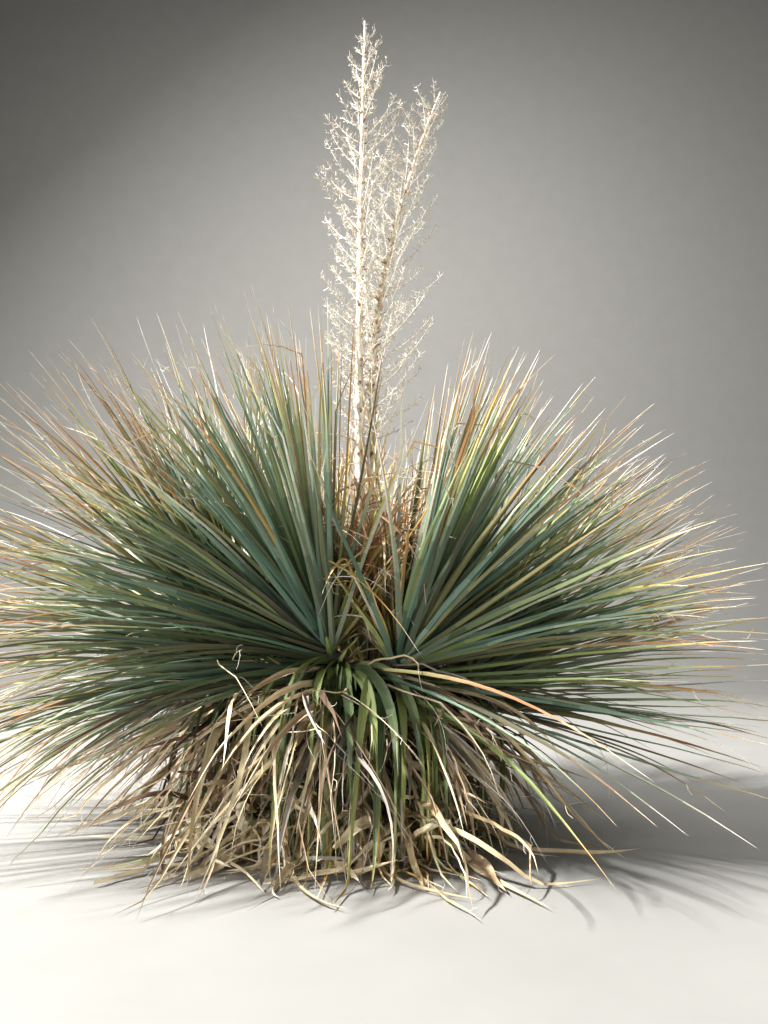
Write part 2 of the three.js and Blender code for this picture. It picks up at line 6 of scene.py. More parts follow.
import bpy
import numpy as np
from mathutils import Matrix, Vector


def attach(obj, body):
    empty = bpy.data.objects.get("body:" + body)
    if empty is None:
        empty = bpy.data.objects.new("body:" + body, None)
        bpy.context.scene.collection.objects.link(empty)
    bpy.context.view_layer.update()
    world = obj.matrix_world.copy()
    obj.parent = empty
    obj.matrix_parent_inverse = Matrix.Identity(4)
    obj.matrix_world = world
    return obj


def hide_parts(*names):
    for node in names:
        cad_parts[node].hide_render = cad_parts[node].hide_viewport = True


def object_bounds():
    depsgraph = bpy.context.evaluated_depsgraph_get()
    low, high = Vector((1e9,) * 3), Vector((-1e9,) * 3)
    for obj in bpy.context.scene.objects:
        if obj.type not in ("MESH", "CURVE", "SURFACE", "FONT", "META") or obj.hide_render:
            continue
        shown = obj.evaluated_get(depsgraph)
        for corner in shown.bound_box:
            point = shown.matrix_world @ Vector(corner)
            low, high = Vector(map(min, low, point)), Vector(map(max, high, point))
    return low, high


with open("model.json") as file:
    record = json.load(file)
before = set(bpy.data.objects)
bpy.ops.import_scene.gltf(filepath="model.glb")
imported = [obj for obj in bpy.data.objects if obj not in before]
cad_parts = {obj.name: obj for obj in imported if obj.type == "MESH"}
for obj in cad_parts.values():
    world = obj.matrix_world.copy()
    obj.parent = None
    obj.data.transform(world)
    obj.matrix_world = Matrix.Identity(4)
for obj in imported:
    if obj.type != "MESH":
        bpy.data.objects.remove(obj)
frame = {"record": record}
CAD_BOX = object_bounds()

# Camera: the photograph's frame is 768 by 1024, and its focal length is 770 of those pixels
FRAME_HEIGHT = 1024
FOCAL_PIXELS = 770
SENSOR = 36.0
CAMERA_PLACE = (0.075, -3.05, 0.70)
CAMERA_PITCH = 9.4

# Sizes shared with the part's source
LEAF_LENGTH = 1.280
LEAF_WIDTH = 0.040
DEAD_LENGTH = 0.720
ROOT_CROWN_HEIGHT = 0.150
ROOT_CROWN_RADIUS = 0.240
ROOT_CROWN_Y = 0.035

# Each head: its place and lean, as in the source, and its reach, its leaves' droop and its dead leaves'
# spread, close to the source. Then how many living and dead leaves are tried, how far they may reach into
# their neighbours' space, how blue and dry they are, and their width as a share of the source's.
ROSETTES = [
    dict(name="middle", head=(0.015, 0.070, 0.600), tilt=0, towards=90, reach=0.80, droop=0.6, spread=0,
         leaves=400, dead=0, mingle=0.34, blue=0.1, dry=1.6, broad=0.6),
    dict(name="front_left", head=(-0.112, -0.230, 0.640), tilt=23, towards=192, reach=0.96, droop=1.25,
         spread=0.3, leaves=2700, dead=360, mingle=0.15, blue=0.8, dry=0.25, broad=0.82),
    dict(name="front_right", head=(0.115, -0.190, 0.585), tilt=26, towards=345, reach=0.96, droop=0.5,
         spread=0.0, leaves=2500, dead=210, mingle=0.15, blue=0.35, dry=0.3, broad=0.92),
    dict(name="left", head=(-0.430, 0.010, 0.590), tilt=24, towards=180, reach=1.08, droop=1.5,
         spread=1.0, leaves=1950, dead=420, mingle=0.26, blue=0.25, dry=0.9, broad=0.72),
    dict(name="right", head=(0.370, 0.110, 0.500), tilt=28, towards=3, reach=0.92, droop=0.35,
         spread=0.1, leaves=1550, dead=120, mingle=0.26, blue=0.3, dry=0.4, broad=0.84),
    dict(name="back_left", head=(-0.190, 0.400, 0.570), tilt=21, towards=130, reach=1.0, droop=1.15,
         spread=0.8, leaves=1400, dead=160, mingle=0.26, blue=0.25, dry=0.9, broad=0.70),
    dict(name="back_right", head=(0.190, 0.420, 0.545), tilt=20, towards=58, reach=0.98, droop=0.5,
         spread=0.3, leaves=1200, dead=160, mingle=0.26, blue=0.25, dry=0.6, broad=0.72),
]

# Living leaves. Those that lean to the left are drier, and darker with painted shade, by up to the shares
# here, and upright ones that end near the flower stalks are drier too.
BROKEN_LEAVES = 84  # in each of the two front heads, towards the stalks
BROKEN_TOWARDS = {"front_left": 372, "front_right": 555}
SHEATHS = 44
SLACK_WIDTH = 1.35
STIFF_WIDTH = (0.62, 1.08)
DRY_MIDDLE = 0.75  # this share of the middle head's leaves is dry
LEFT_DRYNESS = 0.6
LEFT_SHADE = 0.55
STALK_DRYNESS = 1.0
STALKS_X = 0.10
NEAR_STALKS = 0.34
UPRIGHT = 48  # degrees
WANDER = 1.2  # degrees that a leaf strays by at each of its sections
SCATTER = (5, 3)  # degrees by which a leaf's heading and elevation stray from the even spread
FOOT_SCATTER = 0.007
SNAPPED = 0.015  # up to this share of leaves is snapped near the tip, up to the next one bent, and frayed
BENT = 0.25
FRAYED = 0.28
SNAPPED_BENDS = (25, 80, 0.22)  # least and most degrees, and how much the end sags
BENT_BENDS = (4, 25, 0.05)
GAP_DEPTH = 0.45
LOW_RIGHT_BELOW = 12  # degrees: few leaves start lower than this on the right
LOW_RIGHT_HALF_ANGLE = 55
LOW_RIGHT_LOSS = 0.6

# Rosette rule, mostly with the source's values. Slack leaves hang sooner and fewer of them live, because
# here they are many and thin.
GOLDEN_ANGLE = 137.508
LEAST_POLAR = 5
MOST_POLAR = 128
MIDDLE_POLAR = 30
MIDDLE_RING = 0.064
MIDDLE_ROOT = -0.022
LEAST_ELEVATION = -9
SLACK_ELEVATION = 40
SLACK_HALF_ANGLE = 48
SLACK_ALIVE = 0.25
SLACK_LIVES_BELOW = 16
SLACK_BEND = (84, 116)
SLACK_REACH = 0.85
SLACK_LIFT = -6
SLACK_KINK = (0.22, 0.65)
UPRIGHT_BEND = 7
LOW_BEND = 30
BEND_SPREAD = (0.1, 1.6)
DRIFT = 22
LENGTH_TRIES = (1, 0.86, 0.7)
SPREAD_LENGTH = 1.35
SPREAD_BEND = 0.5
ROOT_DEPTH = 0.042
DRUM_DEPTH = 0.078
SLEEVE_DEPTH = 0.084
STEM_TOP_RADIUS = 0.046
STEM_FOOT_RADIUS = 0.052
STEM_FOOT_REACH = 0.145
CLEAR_OF_CROWN = 0.012

# Room for the leaves: how far past the solids' box they may reach, and the open space in front of the
# flower stalks that few leaves cross
REACH_MARGIN = 0.065
OPEN_X = (-0.08, 0.22)
OPEN_ABOVE = 1.12
OPEN_BEHIND = 0.0
OPEN_CHANCE = 0.05

# Sections along a leaf, closer together towards the tip
LEAF_SECTIONS = 14
SLACK_SECTIONS = 22
DEAD_SECTIONS = 14
TIP_CROWDING = 1.2

# Skirts: these shares of the dead leaves are folded over, broad and bleached, and they hang in bunches
FOLDED_SHARE = 0.4
BROAD_SHARE = 0.42
BLEACHED_SHARE = 0.36
BUNCHING = 16  # degrees
DEAD_MINGLE = 0.5
LEAF_BASES = 90

# The heap in front of the root crown
FOOT_LEAVES = 380
SMALL_CURLS = 170
GROUND_STRAPS = 16
STRAPS_TOWARDS = (188, 335)
HEAP_TOWARDS = 245
HEAP_X = (-0.56, 0.30)
HEAP_Y = (-0.48, -0.16)
HEAP_Z = (0.02, 0.17)

# Flower stalks, as in the source
STALKS = {
    "a": dict(foot=(-0.012, 0.070), top=3.500, radius=0.024),
    "b": dict(foot=(0.042, 0.084), top=3.170, radius=0.022),
}
STALK_TIP_RADIUS = 0.005
STALK_STEPS = 320
STALK_SIDES = 28
STALK_A_BOW = -0.018
STALK_B_BEND_FROM = 1.750
STALK_B_REACH = 0.292
STALK_B_POWER = 1.75

# Panicles, by the source's rule with more branches and finer twigs. Branches are longest at the share
# "fullest" of the height, and low and tip are their lengths at its ends against that. Those towards the
# other stalk are shorter low down and longer high up.
PANICLES = {
    "a": dict(start=1.500, end=3.440, branches=114, length=0.300, low=0.34, fullest=0.52, tip=0.15,
              turn=200, other=0, seed=71),
    "b": dict(start=1.520, end=3.110, branches=118, length=0.390, low=0.60, fullest=0.15, tip=0.24,
              turn=20, other=180, seed=72),
}
CROWDING = 0.7
CROWDED_BELOW = 0.55  # share of the panicle's height
BRANCH_STEPS = 12
BRANCH_ELEVATION = (24, 36)
BRANCH_RISE = 26
BRANCH_WANDER = 2.0  # degrees
BRANCH_RADIUS = 0.0023
BRANCHLET_GAP = 0.0082
BRANCHLET_LENGTH = 0.035
BRANCHLET_RADIUS = 0.0011
LOW_BRACTS = 16
HIGH_BRACTS = 60

UP = np.array([0.0, 0.0, 1.0])
LIMB_FACING = np.array([1.0, 0.02, 0.0])


# Small tools


def seeded(seed):
    """The source's repeatable random numbers, from 0 to 1."""
    state = seed & 0xFFFFFFFF

    def draw():
        nonlocal state
        state = (state + 0x6D2B79F5) & 0xFFFFFFFF
        t = state
        t = ((t ^ (t >> 15)) * (t | 1)) & 0xFFFFFFFF
        t ^= (t + ((t ^ (t >> 7)) * (t | 61) & 0xFFFFFFFF)) & 0xFFFFFFFF
        return ((t ^ (t >> 14)) & 0xFFFFFFFF) / 4294967296

    return draw


def radical_inverse(n):
    value, place = 0.0, 0.5
    while n:
        value += (n % 2) * place
        place /= 2
        n //= 2
    return value


def lerp(a, b, t):
    return a + (b - a) * t


def clamp(value):
    return min(1, max(0, value))


def smooth(t):
    t = np.clip(t, 0, 1)
    return t * t * (3 - 2 * t)


def unit(v):
    return v / max(math.sqrt(v.dot(v)), 1e-12)


def heading(azimuth, elevation):
    a, e = math.radians(azimuth), math.radians(elevation)
    return np.array([math.cos(e) * math.cos(a), math.cos(e) * math.sin(a), math.sin(e)])


def placed(name, data):
    """A new object in the scene."""
    item = bpy.data.objects.new(name, data)
    bpy.context.scene.collection.objects.link(item)
    return item


def basis_of(normal, near=(1.0, 0.0, 0.0)):
    near = np.array(near)
    e1 = unit(near - near.dot(normal) * normal)
    return e1, np.cross(normal, e1)


def channels_of(colour):
    """A colour's red, green and blue, from 0 to 255."""
    return [int(colour[i : i + 2], 16) for i in (1, 3, 5)]


def linear(channels):
    """sRGB channels as the linear numbers that a shader takes."""
    shares = [c / 255 for c in channels]
    return [c / 12.92 if c <= 0.04045 else ((c + 0.055) / 1.055) ** 2.4 for c in shares]


# Materials


def plain(name, channels, roughness):
    """A leaf or twig colour. A joined piece gets its variety from many of these."""
    material = bpy.data.materials.new(name)
    material.use_nodes = True
    shader = material.node_tree.nodes["Principled BSDF"]
    shader.inputs["Base Color"].default_value = (*linear(channels), 1)
    shader.inputs["Roughness"].default_value = roughness
    return material


class Palette:
    """Runs of plain colours in even steps, and the slot number of each step on a joined piece."""

    def __init__(self, prefix, runs, steps):
        self.steps = steps
        self.first = {}
        self.materials = []
        for name, (roughness, colours) in runs.items():
            self.first[name] = len(self.materials)
            channels = np.array([channels_of(c) for c in colours.split()])
            places = np.linspace(0, len(channels) - 1, steps)
            for i, place in enumerate(places):
                mixed = [round(np.interp(place, range(len(channels)), channels[:, j])) for j in range(3)]
                gloss = lerp(*roughness, i / (steps - 1))
                self.materials.append(plain(f"{prefix}_{name}_{i}", mixed, gloss))

    def at(self, name, share):
        """The slot of a run's colour at a share of its length, or at several."""
        step = np.clip(np.round(np.asarray(share) * (self.steps - 1)), 0, self.steps - 1)
        return self.first[name] + step.astype(int)


# Each run is a leaf's colours from its base to its tip as it dies back. In the living runs the living part
# climbs from dark to light: painted shade at a leaf's base and painted light further out. BODY is where the
# living part ends in a run.
BODY = 0.46
LEAVES = Palette("leaf", {
    "blue": ((0.30, 0.8), "#364a3f #56705f #7a927f #a0b196 #b6b78d #bfa976 #c4a67c #dccaa8 #f0eadc"),
    "green": ((0.30, 0.8), "#3a4932 #5a6a48 #7d8e62 #a2b080 #b9b682 #c2a66c #ba9060 #d4be98 #eee6d4"),
    "umber": ((0.5, 0.8), "#34382a #4b4c39 #625c45 #77684c #846a4c #8f7152 #a98f70 #c9b79c #e6dccb"),
    "rusty": ((0.45, 0.8), "#4b523b #676b48 #858052 #998455 #a57e50 #a2704a #b08560 #cbb18e #e8dcc6"),
    "pale": ((0.45, 0.8), "#5f6d44 #7c8a52 #98a260 #b0b26c #c4ba72 #cfae63 #cf9f5c #dfc9a0 #f2ecdf"),
    "ashy": ((0.4, 0.8), "#444e40 #64705a #868e78 #a6a995 #bdb9a6 #ccc6b6 #dad4c8 #e8e3d9 #f4f1ea"),
    "orange": ((0.5, 0.8), "#6a6641 #87784a #a3814f #b48456 #b6835b #c79d79 #dfc9ab #f1ebdf"),
    "tan": ((0.75, 0.85), "#5f4b3b #836c53 #a2896b #bda684 #d1bf9f #e0d3ba"),
    "cream": ((0.7, 0.8), "#9a8462 #c6b088 #dfcda6 #eee2c6 #f7f1e0"),
    "grey": ((0.8, 0.88), "#50473e #776c60 #9a9084 #b8b0a5 #d2ccc2 #e6e2da"),
    "brown": ((0.85, 0.9), "#32271f #4b392c #664d39 #7f634a"),
}, 12)

TWIGS = Palette("twig", {
    "white": ((0.7, 0.75), "#edeae3 #dfd8ca #cdc1aa #b09d7c"),
    "scar": ((0.8, 0.88), "#cfb083 #b88e5e #9c6f45 #7e5735"),
}, 5)

NOISE_ROUGHNESS = 0.6


class Nodes:
    """Short hand for building a patterned material."""

    def __init__(self, name):
        self.material = bpy.data.materials.new(name)
        self.material.use_nodes = True
        self.tree = self.material.node_tree
        self.shader = self.tree.nodes["Principled BSDF"]
        self.place = self.add("ShaderNodeTexCoord").outputs["Object"]

    def add(self, kind, **values):
        node = self.tree.nodes.new(kind)
        for key, value in values.items():
            setattr(node, key, value)
        return node

    def join(self, source, target):
        self.tree.links.new(source, target)

    def noise(self, scale, detail, stretch=(1, 1, 1)):
        mapping = self.add("ShaderNodeMapping")
        mapping.inputs["Scale"].default_value = stretch
        self.join(self.place, mapping.inputs["Vector"])
        node = self.add("ShaderNodeTexNoise")
        node.inputs["Scale"].default_value = scale
        node.inputs["Detail"].default_value = detail
        node.inputs["Roughness"].default_value = NOISE_ROUGHNESS
        self.join(mapping.outputs["Vector"], node.inputs["Vector"])
        return node.outputs["Fac"]

    def ramp(self, source, stops):
        node = self.add("ShaderNodeValToRGB")
        elements = node.color_ramp.elements
        while len(elements) < len(stops):
            elements.new(0.5)
        for element, (position, colour) in zip(elements, stops):
            element.position = position
            element.color = (*linear(channels_of(colour)), 1)
        self.join(source, node.inputs["Fac"])
        return node.outputs["Color"]

    def mix(self, share, a, b, blend="MIX"):
        node = self.add("ShaderNodeMix", data_type="RGBA", blend_type=blend)
        node.inputs["Factor"].default_value = share
        self.join(a, node.inputs[6])
        self.join(b, node.inputs[7])
        return node.outputs[2]

    def bump(self, height, strength, distance):
        node = self.add("ShaderNodeBump")
        node.inputs["Strength"].default_value = strength
        node.inputs["Distance"].default_value = distance
        self.join(height, node.inputs["Height"])
        self.join(node.outputs["Normal"], self.shader.inputs["Normal"])

    def finish(self, colour, roughness):
        self.join(colour, self.shader.inputs["Base Color"])
        self.shader.inputs["Roughness"].default_value = roughness
        return self.material


def bark_material():
    n = Nodes("stem_bark")
    bands = n.noise(22, 5, (1, 1, 3.2))
    fibre = n.noise(60, 8, (1, 1, 0.25))
    colour = n.ramp(bands, [(0.3, "#4b3a2c"), (0.5, "#7a6350"), (0.72, "#a08b72")])
    grey = n.ramp(fibre, [(0.35, "#55483b"), (0.7, "#b3a48f")])
    n.bump(fibre, 0.7, 0.004)
    return n.finish(n.mix(0.45, colour, grey), 0.92)


def stalk_material():
    """Bleached wood with long fine cracks, tan and brown where the bracts were."""
    n = Nodes("stalk_wood")
    streak = n.noise(110, 8, (1, 1, 0.05))
    patch = n.noise(9, 5, (1, 1, 0.6))
    spots = n.noise(30, 4, (1, 1, 0.8))
    cream = n.ramp(streak, [(0.3, "#c2b9a4"), (0.46, "#e6e0d3"), (0.68, "#f4f1e9")])
    tan = n.ramp(patch, [(0.35, "#ffffff"), (0.6, "#f4ecd9"), (0.8, "#dcc9a6")])
    colour = n.mix(0.8, cream, tan, "MULTIPLY")
    brown = n.ramp(spots, [(0.6, "#ffffff"), (0.68, "#a9825a")])
    n.bump(streak, 0.5, 0.0016)
    return n.finish(n.mix(0.7, colour, brown, "MULTIPLY"), 0.72)


def floor_material():
    n = Nodes("studio_floor")
    return n.finish(n.ramp(n.noise(3, 4), [(0.3, "#8e8c87"), (0.7, "#92908b")]), 0.9)


# Joined meshes


class Batch:
    """Many small closed forms that become one mesh, with a slot for each face."""

    def __init__(self):
        self.points, self.count = [], 0
        self.quads, self.quad_slots = [], []
        self.triangles, self.triangle_slots = [], []

    def tube(self, rings, slots, tip=None):
        """A closed form through rings, an array of steps by sides by 3, with a slot for each step."""
        steps, sides, _ = rings.shape
        index = self.count + np.arange(steps * sides).reshape(steps, sides)
        self.points.append(rings.reshape(-1, 3))
        self.count += steps * sides
        around = np.roll(index, -1, axis=1)
        self.quads.append(np.stack([index[:-1], around[:-1], around[1:], index[1:]], -1).reshape(-1, 4))
        self.quad_slots.append(np.repeat(slots[: steps - 1], sides))
        self.fan(index[0][::-1], rings[0].mean(0), slots[0])
        self.fan(index[-1], rings[-1].mean(0) if tip is None else tip, slots[-1])

    def fan(self, ring, centre, slot):
        self.points.append(np.asarray(centre)[None])
        middle = self.count
        self.count += 1
        faces = np.stack([ring, np.roll(ring, -1), np.full(len(ring), middle)], -1)
        self.triangles.append(faces)
        self.triangle_slots.append(np.full(len(faces), slot))

    def build(self, name, materials, sharp=35):
        points = np.concatenate(self.points)
        points[:, 2] = np.maximum(points[:, 2], 0)
        quads = np.concatenate(self.quads)
        triangles = np.concatenate(self.triangles)
        mesh = bpy.data.meshes.new(name)
        mesh.vertices.add(len(points))
        mesh.vertices.foreach_set("co", points.ravel())
        corners = np.concatenate([quads.ravel(), triangles.ravel()])
        mesh.loops.add(len(corners))
        mesh.loops.foreach_set("vertex_index", corners)
        starts = np.concatenate([np.arange(len(quads)) * 4, 4 * len(quads) + np.arange(len(triangles)) * 3])
        mesh.polygons.add(len(starts))
        mesh.polygons.foreach_set("loop_start", starts)
        used, slots = np.unique(np.concatenate(self.quad_slots + self.triangle_slots), return_inverse=True)
        for slot in used:
            mesh.materials.append(materials[slot])
        mesh.polygons.foreach_set("material_index", slots.ravel().astype(np.int32))
        mesh.update(calc_edges=True)
        mesh.validate()
        mesh.shade_smooth()
        mesh.set_sharp_from_angle(angle=math.radians(sharp))
        return placed(name, mesh)


def frames_along(path, facing, twist=0.0):
    """Side and over for each point of a path, turned by a twist in radians."""
    along = np.gradient(path, axis=0)
    along /= np.maximum(np.linalg.norm(along, axis=1, keepdims=True), 1e-9)
    side = np.cross(along, facing)
    side /= np.maximum(np.linalg.norm(side, axis=1, keepdims=True), 1e-9)
    flips = np.cumprod(np.where(np.einsum("ij,ij->i", side[1:], side[:-1]) < 0, -1, 1))
    side[1:] *= flips[:, None]
    over = np.cross(side, along)
    twist = np.broadcast_to(twist, len(path))[:, None]
    c, s = np.cos(twist), np.sin(twist)
    return side * c + over * s, over * c - side * s


def outward(path, facing, sides):
    """The ways out from a path to the points of its rings, one for each step and side."""
    side, over = frames_along(path, facing)
    angle = 2 * np.pi * np.arange(sides) / sides
    return np.cos(angle)[None, :, None] * side[:, None] - np.sin(angle)[None, :, None] * over[:, None]


# A strap's section: left edge, valley, right edge, keel
STRAP_ACROSS = np.array([-1.0, 0.0, 1.0, 0.0])
KEEL = 3


def strap(batch, path, facing, halves, slots, fold, thickness, twist=0.0):
    """A keeled strap: halves are its half widths, fold lifts the edges as a share of them."""
    side, over = frames_along(path, facing, twist)
    across = halves[:, None] * STRAP_ACROSS
    lift = np.abs(across) * np.reshape(fold, (-1, 1))
    lift[:, KEEL] = -np.minimum(thickness, halves * 0.5 + 0.0004)
    rings = path[:, None] + across[..., None] * side[:, None] + lift[..., None] * over[:, None]
    batch.tube(rings, slots, tip=path[-1] + (path[-1] - path[-2]) * 0.5)


def round_twig(batch, path, radii, slots, sides=3):
    facing = UP if abs(unit(path[-1] - path[0])[2]) < 0.9 else np.array([1.0, 0, 0])
    batch.tube(path[:, None] + radii[:, None, None] * outward(path, facing, sides), slots)


# Heads


def axis_of(rosette):
    return heading(rosette["towards"], 90 - rosette["tilt"])


AXES = np.array([axis_of(r) for r in ROSETTES])
HEADS = np.array([r["head"] for r in ROSETTES])


def in_own_space(rosette, points, mingle):
    """Whether every point is nearest to this head's line, give or take, and outside the root crown."""
    away = points[:, None] - HEADS
    along = np.maximum(0, np.einsum("pij,ij->pi", away, AXES))
    off = np.linalg.norm(away - along[..., None] * AXES, axis=2)
    own = off[:, ROSETTES.index(rosette)]
    low = points[:, 2] < ROOT_CROWN_HEIGHT + CLEAR_OF_CROWN
    inside = np.hypot(points[:, 0], points[:, 1] - ROOT_CROWN_Y) < ROOT_CROWN_RADIUS + CLEAR_OF_CROWN
    return np.all(own <= off.min(1) + mingle) and not np.any(low & inside)


def in_reach(points):
    low, high = np.array(CAD_BOX)
    return np.all(points > low - REACH_MARGIN) and np.all(points < high + REACH_MARGIN)


def before_stalks(points):
    """Whether a leaf crosses the open space in front of the flower stalks."""
    x, y, z = points.T
    return np.any((x > OPEN_X[0]) & (x < OPEN_X[1]) & (z > OPEN_ABOVE) & (y < OPEN_BEHIND))


def leaf_of(rosette, k):
    """The k-th leaf of a head, drawn in the source's order."""
    random = seeded(ROSETTES.index(rosette) * 1000 + k + 1)
    age = radical_inverse(k + 1)
    most = MIDDLE_POLAR if rosette["name"] == "middle" else MOST_POLAR
    spread = math.acos(lerp(math.cos(math.radians(LEAST_POLAR)), math.cos(math.radians(most)), age))
    polar = math.degrees(spread) + 6 * (random() - 0.5)
    turn = math.radians(k * GOLDEN_ANGLE + 14 * (random() - 0.5))
    axis = axis_of(rosette)
    e1, e2 = basis_of(axis)
    p = math.radians(polar)
    way = axis * math.cos(p) + math.sin(p) * (e1 * math.cos(turn) + e2 * math.sin(turn))
    elevation = math.degrees(math.asin(way[2]))
    lowness = clamp((60 - elevation) / 70)
    azimuth = math.degrees(math.atan2(way[1], way[0]))
    slack = abs(((azimuth + 90 + 540) % 360) - 180) < SLACK_HALF_ANGLE and elevation < SLACK_ELEVATION
    stiff_bend = lerp(UPRIGHT_BEND, LOW_BEND * rosette["droop"], lowness)
    stiff_bend *= lerp(*BEND_SPREAD, random())
    length = LEAF_LENGTH * rosette["reach"] * lerp(0.84, 1, random()) * (SLACK_REACH if slack else 1)
    bend = lerp(*SLACK_BEND, random()) if slack else stiff_bend
    drift, twist = DRIFT * (random() - 0.5), 90 * (random() - 0.5)
    kink = lerp(*SLACK_KINK, random()) if slack else 0
    alive = elevation > LEAST_ELEVATION and (not slack or random() < SLACK_ALIVE)
    alive = alive and not (slack and elevation > SLACK_LIVES_BELOW)
    return dict(polar=polar, azimuth=azimuth, elevation=elevation + (SLACK_LIFT if slack else 0),
                alive=alive, slack=slack, length=length, bend=bend, drift=drift, twist=twist,
                lowness=lowness, kink=kink)


def stations(count, crowding=1.0):
    return 1 - (1 - np.linspace(0, 1, count + 1)) ** crowding


def leaf_path(start, leaf, length, shares, clearance, wobble, rng):
    """The source's centre line at the given shares. It runs along the ground where it gets there."""
    points = [np.array(start, float)]
    sway = np.zeros(2)
    for low, high in zip(shares[:-1], shares[1:]):
        share = (low + high) / 2
        sway = 0.82 * sway + rng.normal(0, wobble, 2)
        bent = smooth(share / leaf["kink"]) if leaf.get("kink") else share**1.5
        way = heading(leaf["azimuth"] + leaf["drift"] * share + sway[0],
                      leaf["elevation"] - leaf["bend"] * bent + sway[1])
        step = way * length * (high - low)
        if points[-1][2] + step[2] < clearance:
            step = unit(np.array([way[0], way[1], 0.0]) + 1e-6) * length * (high - low)
            step[2] = max(clearance - points[-1][2], -0.6 * length * (high - low))
        points.append(points[-1] + step)
    return np.array(points)


def leaf_start(rosette, leaf):
    head, axis = np.array(rosette["head"]), axis_of(rosette)
    if rosette["name"] == "middle":
        return head + axis * MIDDLE_ROOT + heading(leaf["azimuth"], 0) * MIDDLE_RING
    low = clamp((leaf["polar"] - 50) / 16)
    centre = head + axis * lerp(0.008, -0.048, low)
    return centre + heading(leaf["azimuth"], leaf["elevation"]) * ROOT_DEPTH


def taper(share, sharp=1.15):
    """Half width of a strap along its length, as a share of the greatest."""
    return np.maximum(1 - share**sharp, 0) * 0.95 + 0.05


def living_colours(rosette, leaf, path, shares, rng):
    """Slots along a leaf, whose tip dies back to straw, and the share where that starts."""
    leftward = max(0, -math.cos(math.radians(leaf["azimuth"])))
    dry = rosette["dry"] + LEFT_DRYNESS * leftward
    if leaf["elevation"] > UPRIGHT and abs(path[-1][0] - STALKS_X) < NEAR_STALKS:
        dry += STALK_DRYNESS
    dead = 0.10 + 0.36 * rng.beta(1.6, 3.6) + 0.22 * dry * rng.random()
    # painted shade: leaves that lean to the left take darker colours from their runs, by up to LEFT_SHADE
    lit = 1 - LEFT_SHADE * leftward
    first, last = lit * rng.uniform(0, 0.28), lit * rng.uniform(0.14, BODY)
    chance = rng.random()
    if leaf["slack"]:
        run, dead = rng.choice(["green", "pale"]), rng.uniform(0.2, 0.55)
        last *= 0.8
    elif rosette["name"] == "middle" and chance < DRY_MIDDLE:
        run, dead, first = rng.choice(["rusty", "orange", "ashy", "pale"]), rng.uniform(0.45, 0.8), 0.25
    elif chance < 0.01 + 0.06 * dry:
        run, dead, first = rng.choice(["rusty", "ashy"]), 0.6, 0.3
    elif chance < 0.10 + 0.26 * dry:
        run = rng.choice(["rusty", "umber", "orange"], p=[0.45, 0.45, 0.10])
    elif rng.random() < rosette["blue"] * lerp(1, 0.6, leaf["lowness"]) * (1 - 0.5 * leftward):
        run = "blue"
    else:
        run = rng.choice(["green", "green", "green", "ashy", "ashy", "pale"])
    tip = 1 - dead
    # painted shade near the base and painted light towards the tip: the living part climbs its run from
    # first to last
    place = np.interp(shares, [0, 0.6 * tip, tip, 1], [first, 0.6 * last, last, 1])
    return LEAVES.at(run, place), tip


def fray(batch, path, rng, count):
    """Loose fibres that curl away from a tip."""
    for _ in range(count):
        at = rng.integers(len(path) - 4, len(path) - 1)
        way = unit(path[-1] - path[at - 1])
        length = rng.uniform(0.02, 0.07)
        points = [path[at]]
        for _ in range(4):
            way = unit(way + rng.normal(0, 0.5, 3))
            points.append(points[-1] + way * length / 4)
        points = np.array(points)
        points[:, 2] = np.maximum(points[:, 2], 0.003)
        slot = LEAVES.at(rng.choice(["tan", "grey"]), rng.uniform(0.6, 1))
        round_twig(batch, points, np.linspace(0.0009, 0.0005, 5), np.full(5, slot))


def bent_over(path, start, rng, least, most, sag):
    """Breaks a path at one of its points: the rest of it turns aside and hangs."""
    out = path.copy()
    way = unit(path[start] - path[start - 1])
    side = unit(np.cross(way, UP + rng.normal(0, 0.3, 3)))
    angle = rng.choice([-1, 1]) * math.radians(rng.uniform(least, most))
    way = way * math.cos(angle) + side * math.sin(angle)
    curl = rng.normal(0, 0.12)
    for i in range(start, len(path)):
        way = unit(way + side * curl - UP * sag)
        out[i] = out[i - 1] + way * np.linalg.norm(path[i] - path[i - 1])
    out[:, 2] = np.maximum(out[:, 2], 0.006)
    return out


def living_leaf(batch, rosette, leaf, path, shares, rng):
    slots, tip = living_colours(rosette, leaf, path, shares, rng)
    width = LEAF_WIDTH * rosette["broad"] * (SLACK_WIDTH if leaf["slack"] else rng.uniform(*STIFF_WIDTH))
    halves = 0.5 * width * taper(shares) * (1 + 0.2 * np.exp(-shares / 0.03))
    dry = np.clip((shares - tip) / max(1 - tip, 1e-3), 0, 1)
    halves *= 1 - 0.25 * dry
    fold = rng.uniform(0.25, 0.5) + 0.4 * dry
    twist = math.radians(leaf["twist"]) * shares + dry * rng.normal(0, 0.6)
    ragged = rng.random()
    if ragged < BENT:
        snapped = ragged < SNAPPED
        bends = SNAPPED_BENDS if snapped else BENT_BENDS
        start = rng.uniform(0.76, 0.92) if snapped else rng.uniform(max(tip, 0.8), 0.95)
        start = int(np.searchsorted(shares, start))
        bent = bent_over(path, start, rng, *bends)
        path = bent if in_reach(bent) else path
        if snapped:
            slots[start:] = LEAVES.at("tan", np.linspace(0.5, 0.9, len(shares) - start))
    facing = axis_of(rosette) if leaf["polar"] > 12 else heading(leaf["azimuth"] + 180, 10)
    strap(batch, path, facing, halves, slots, fold, 0.0030, twist)
    if ragged < FRAYED:
        fray(batch, path, rng, 1)


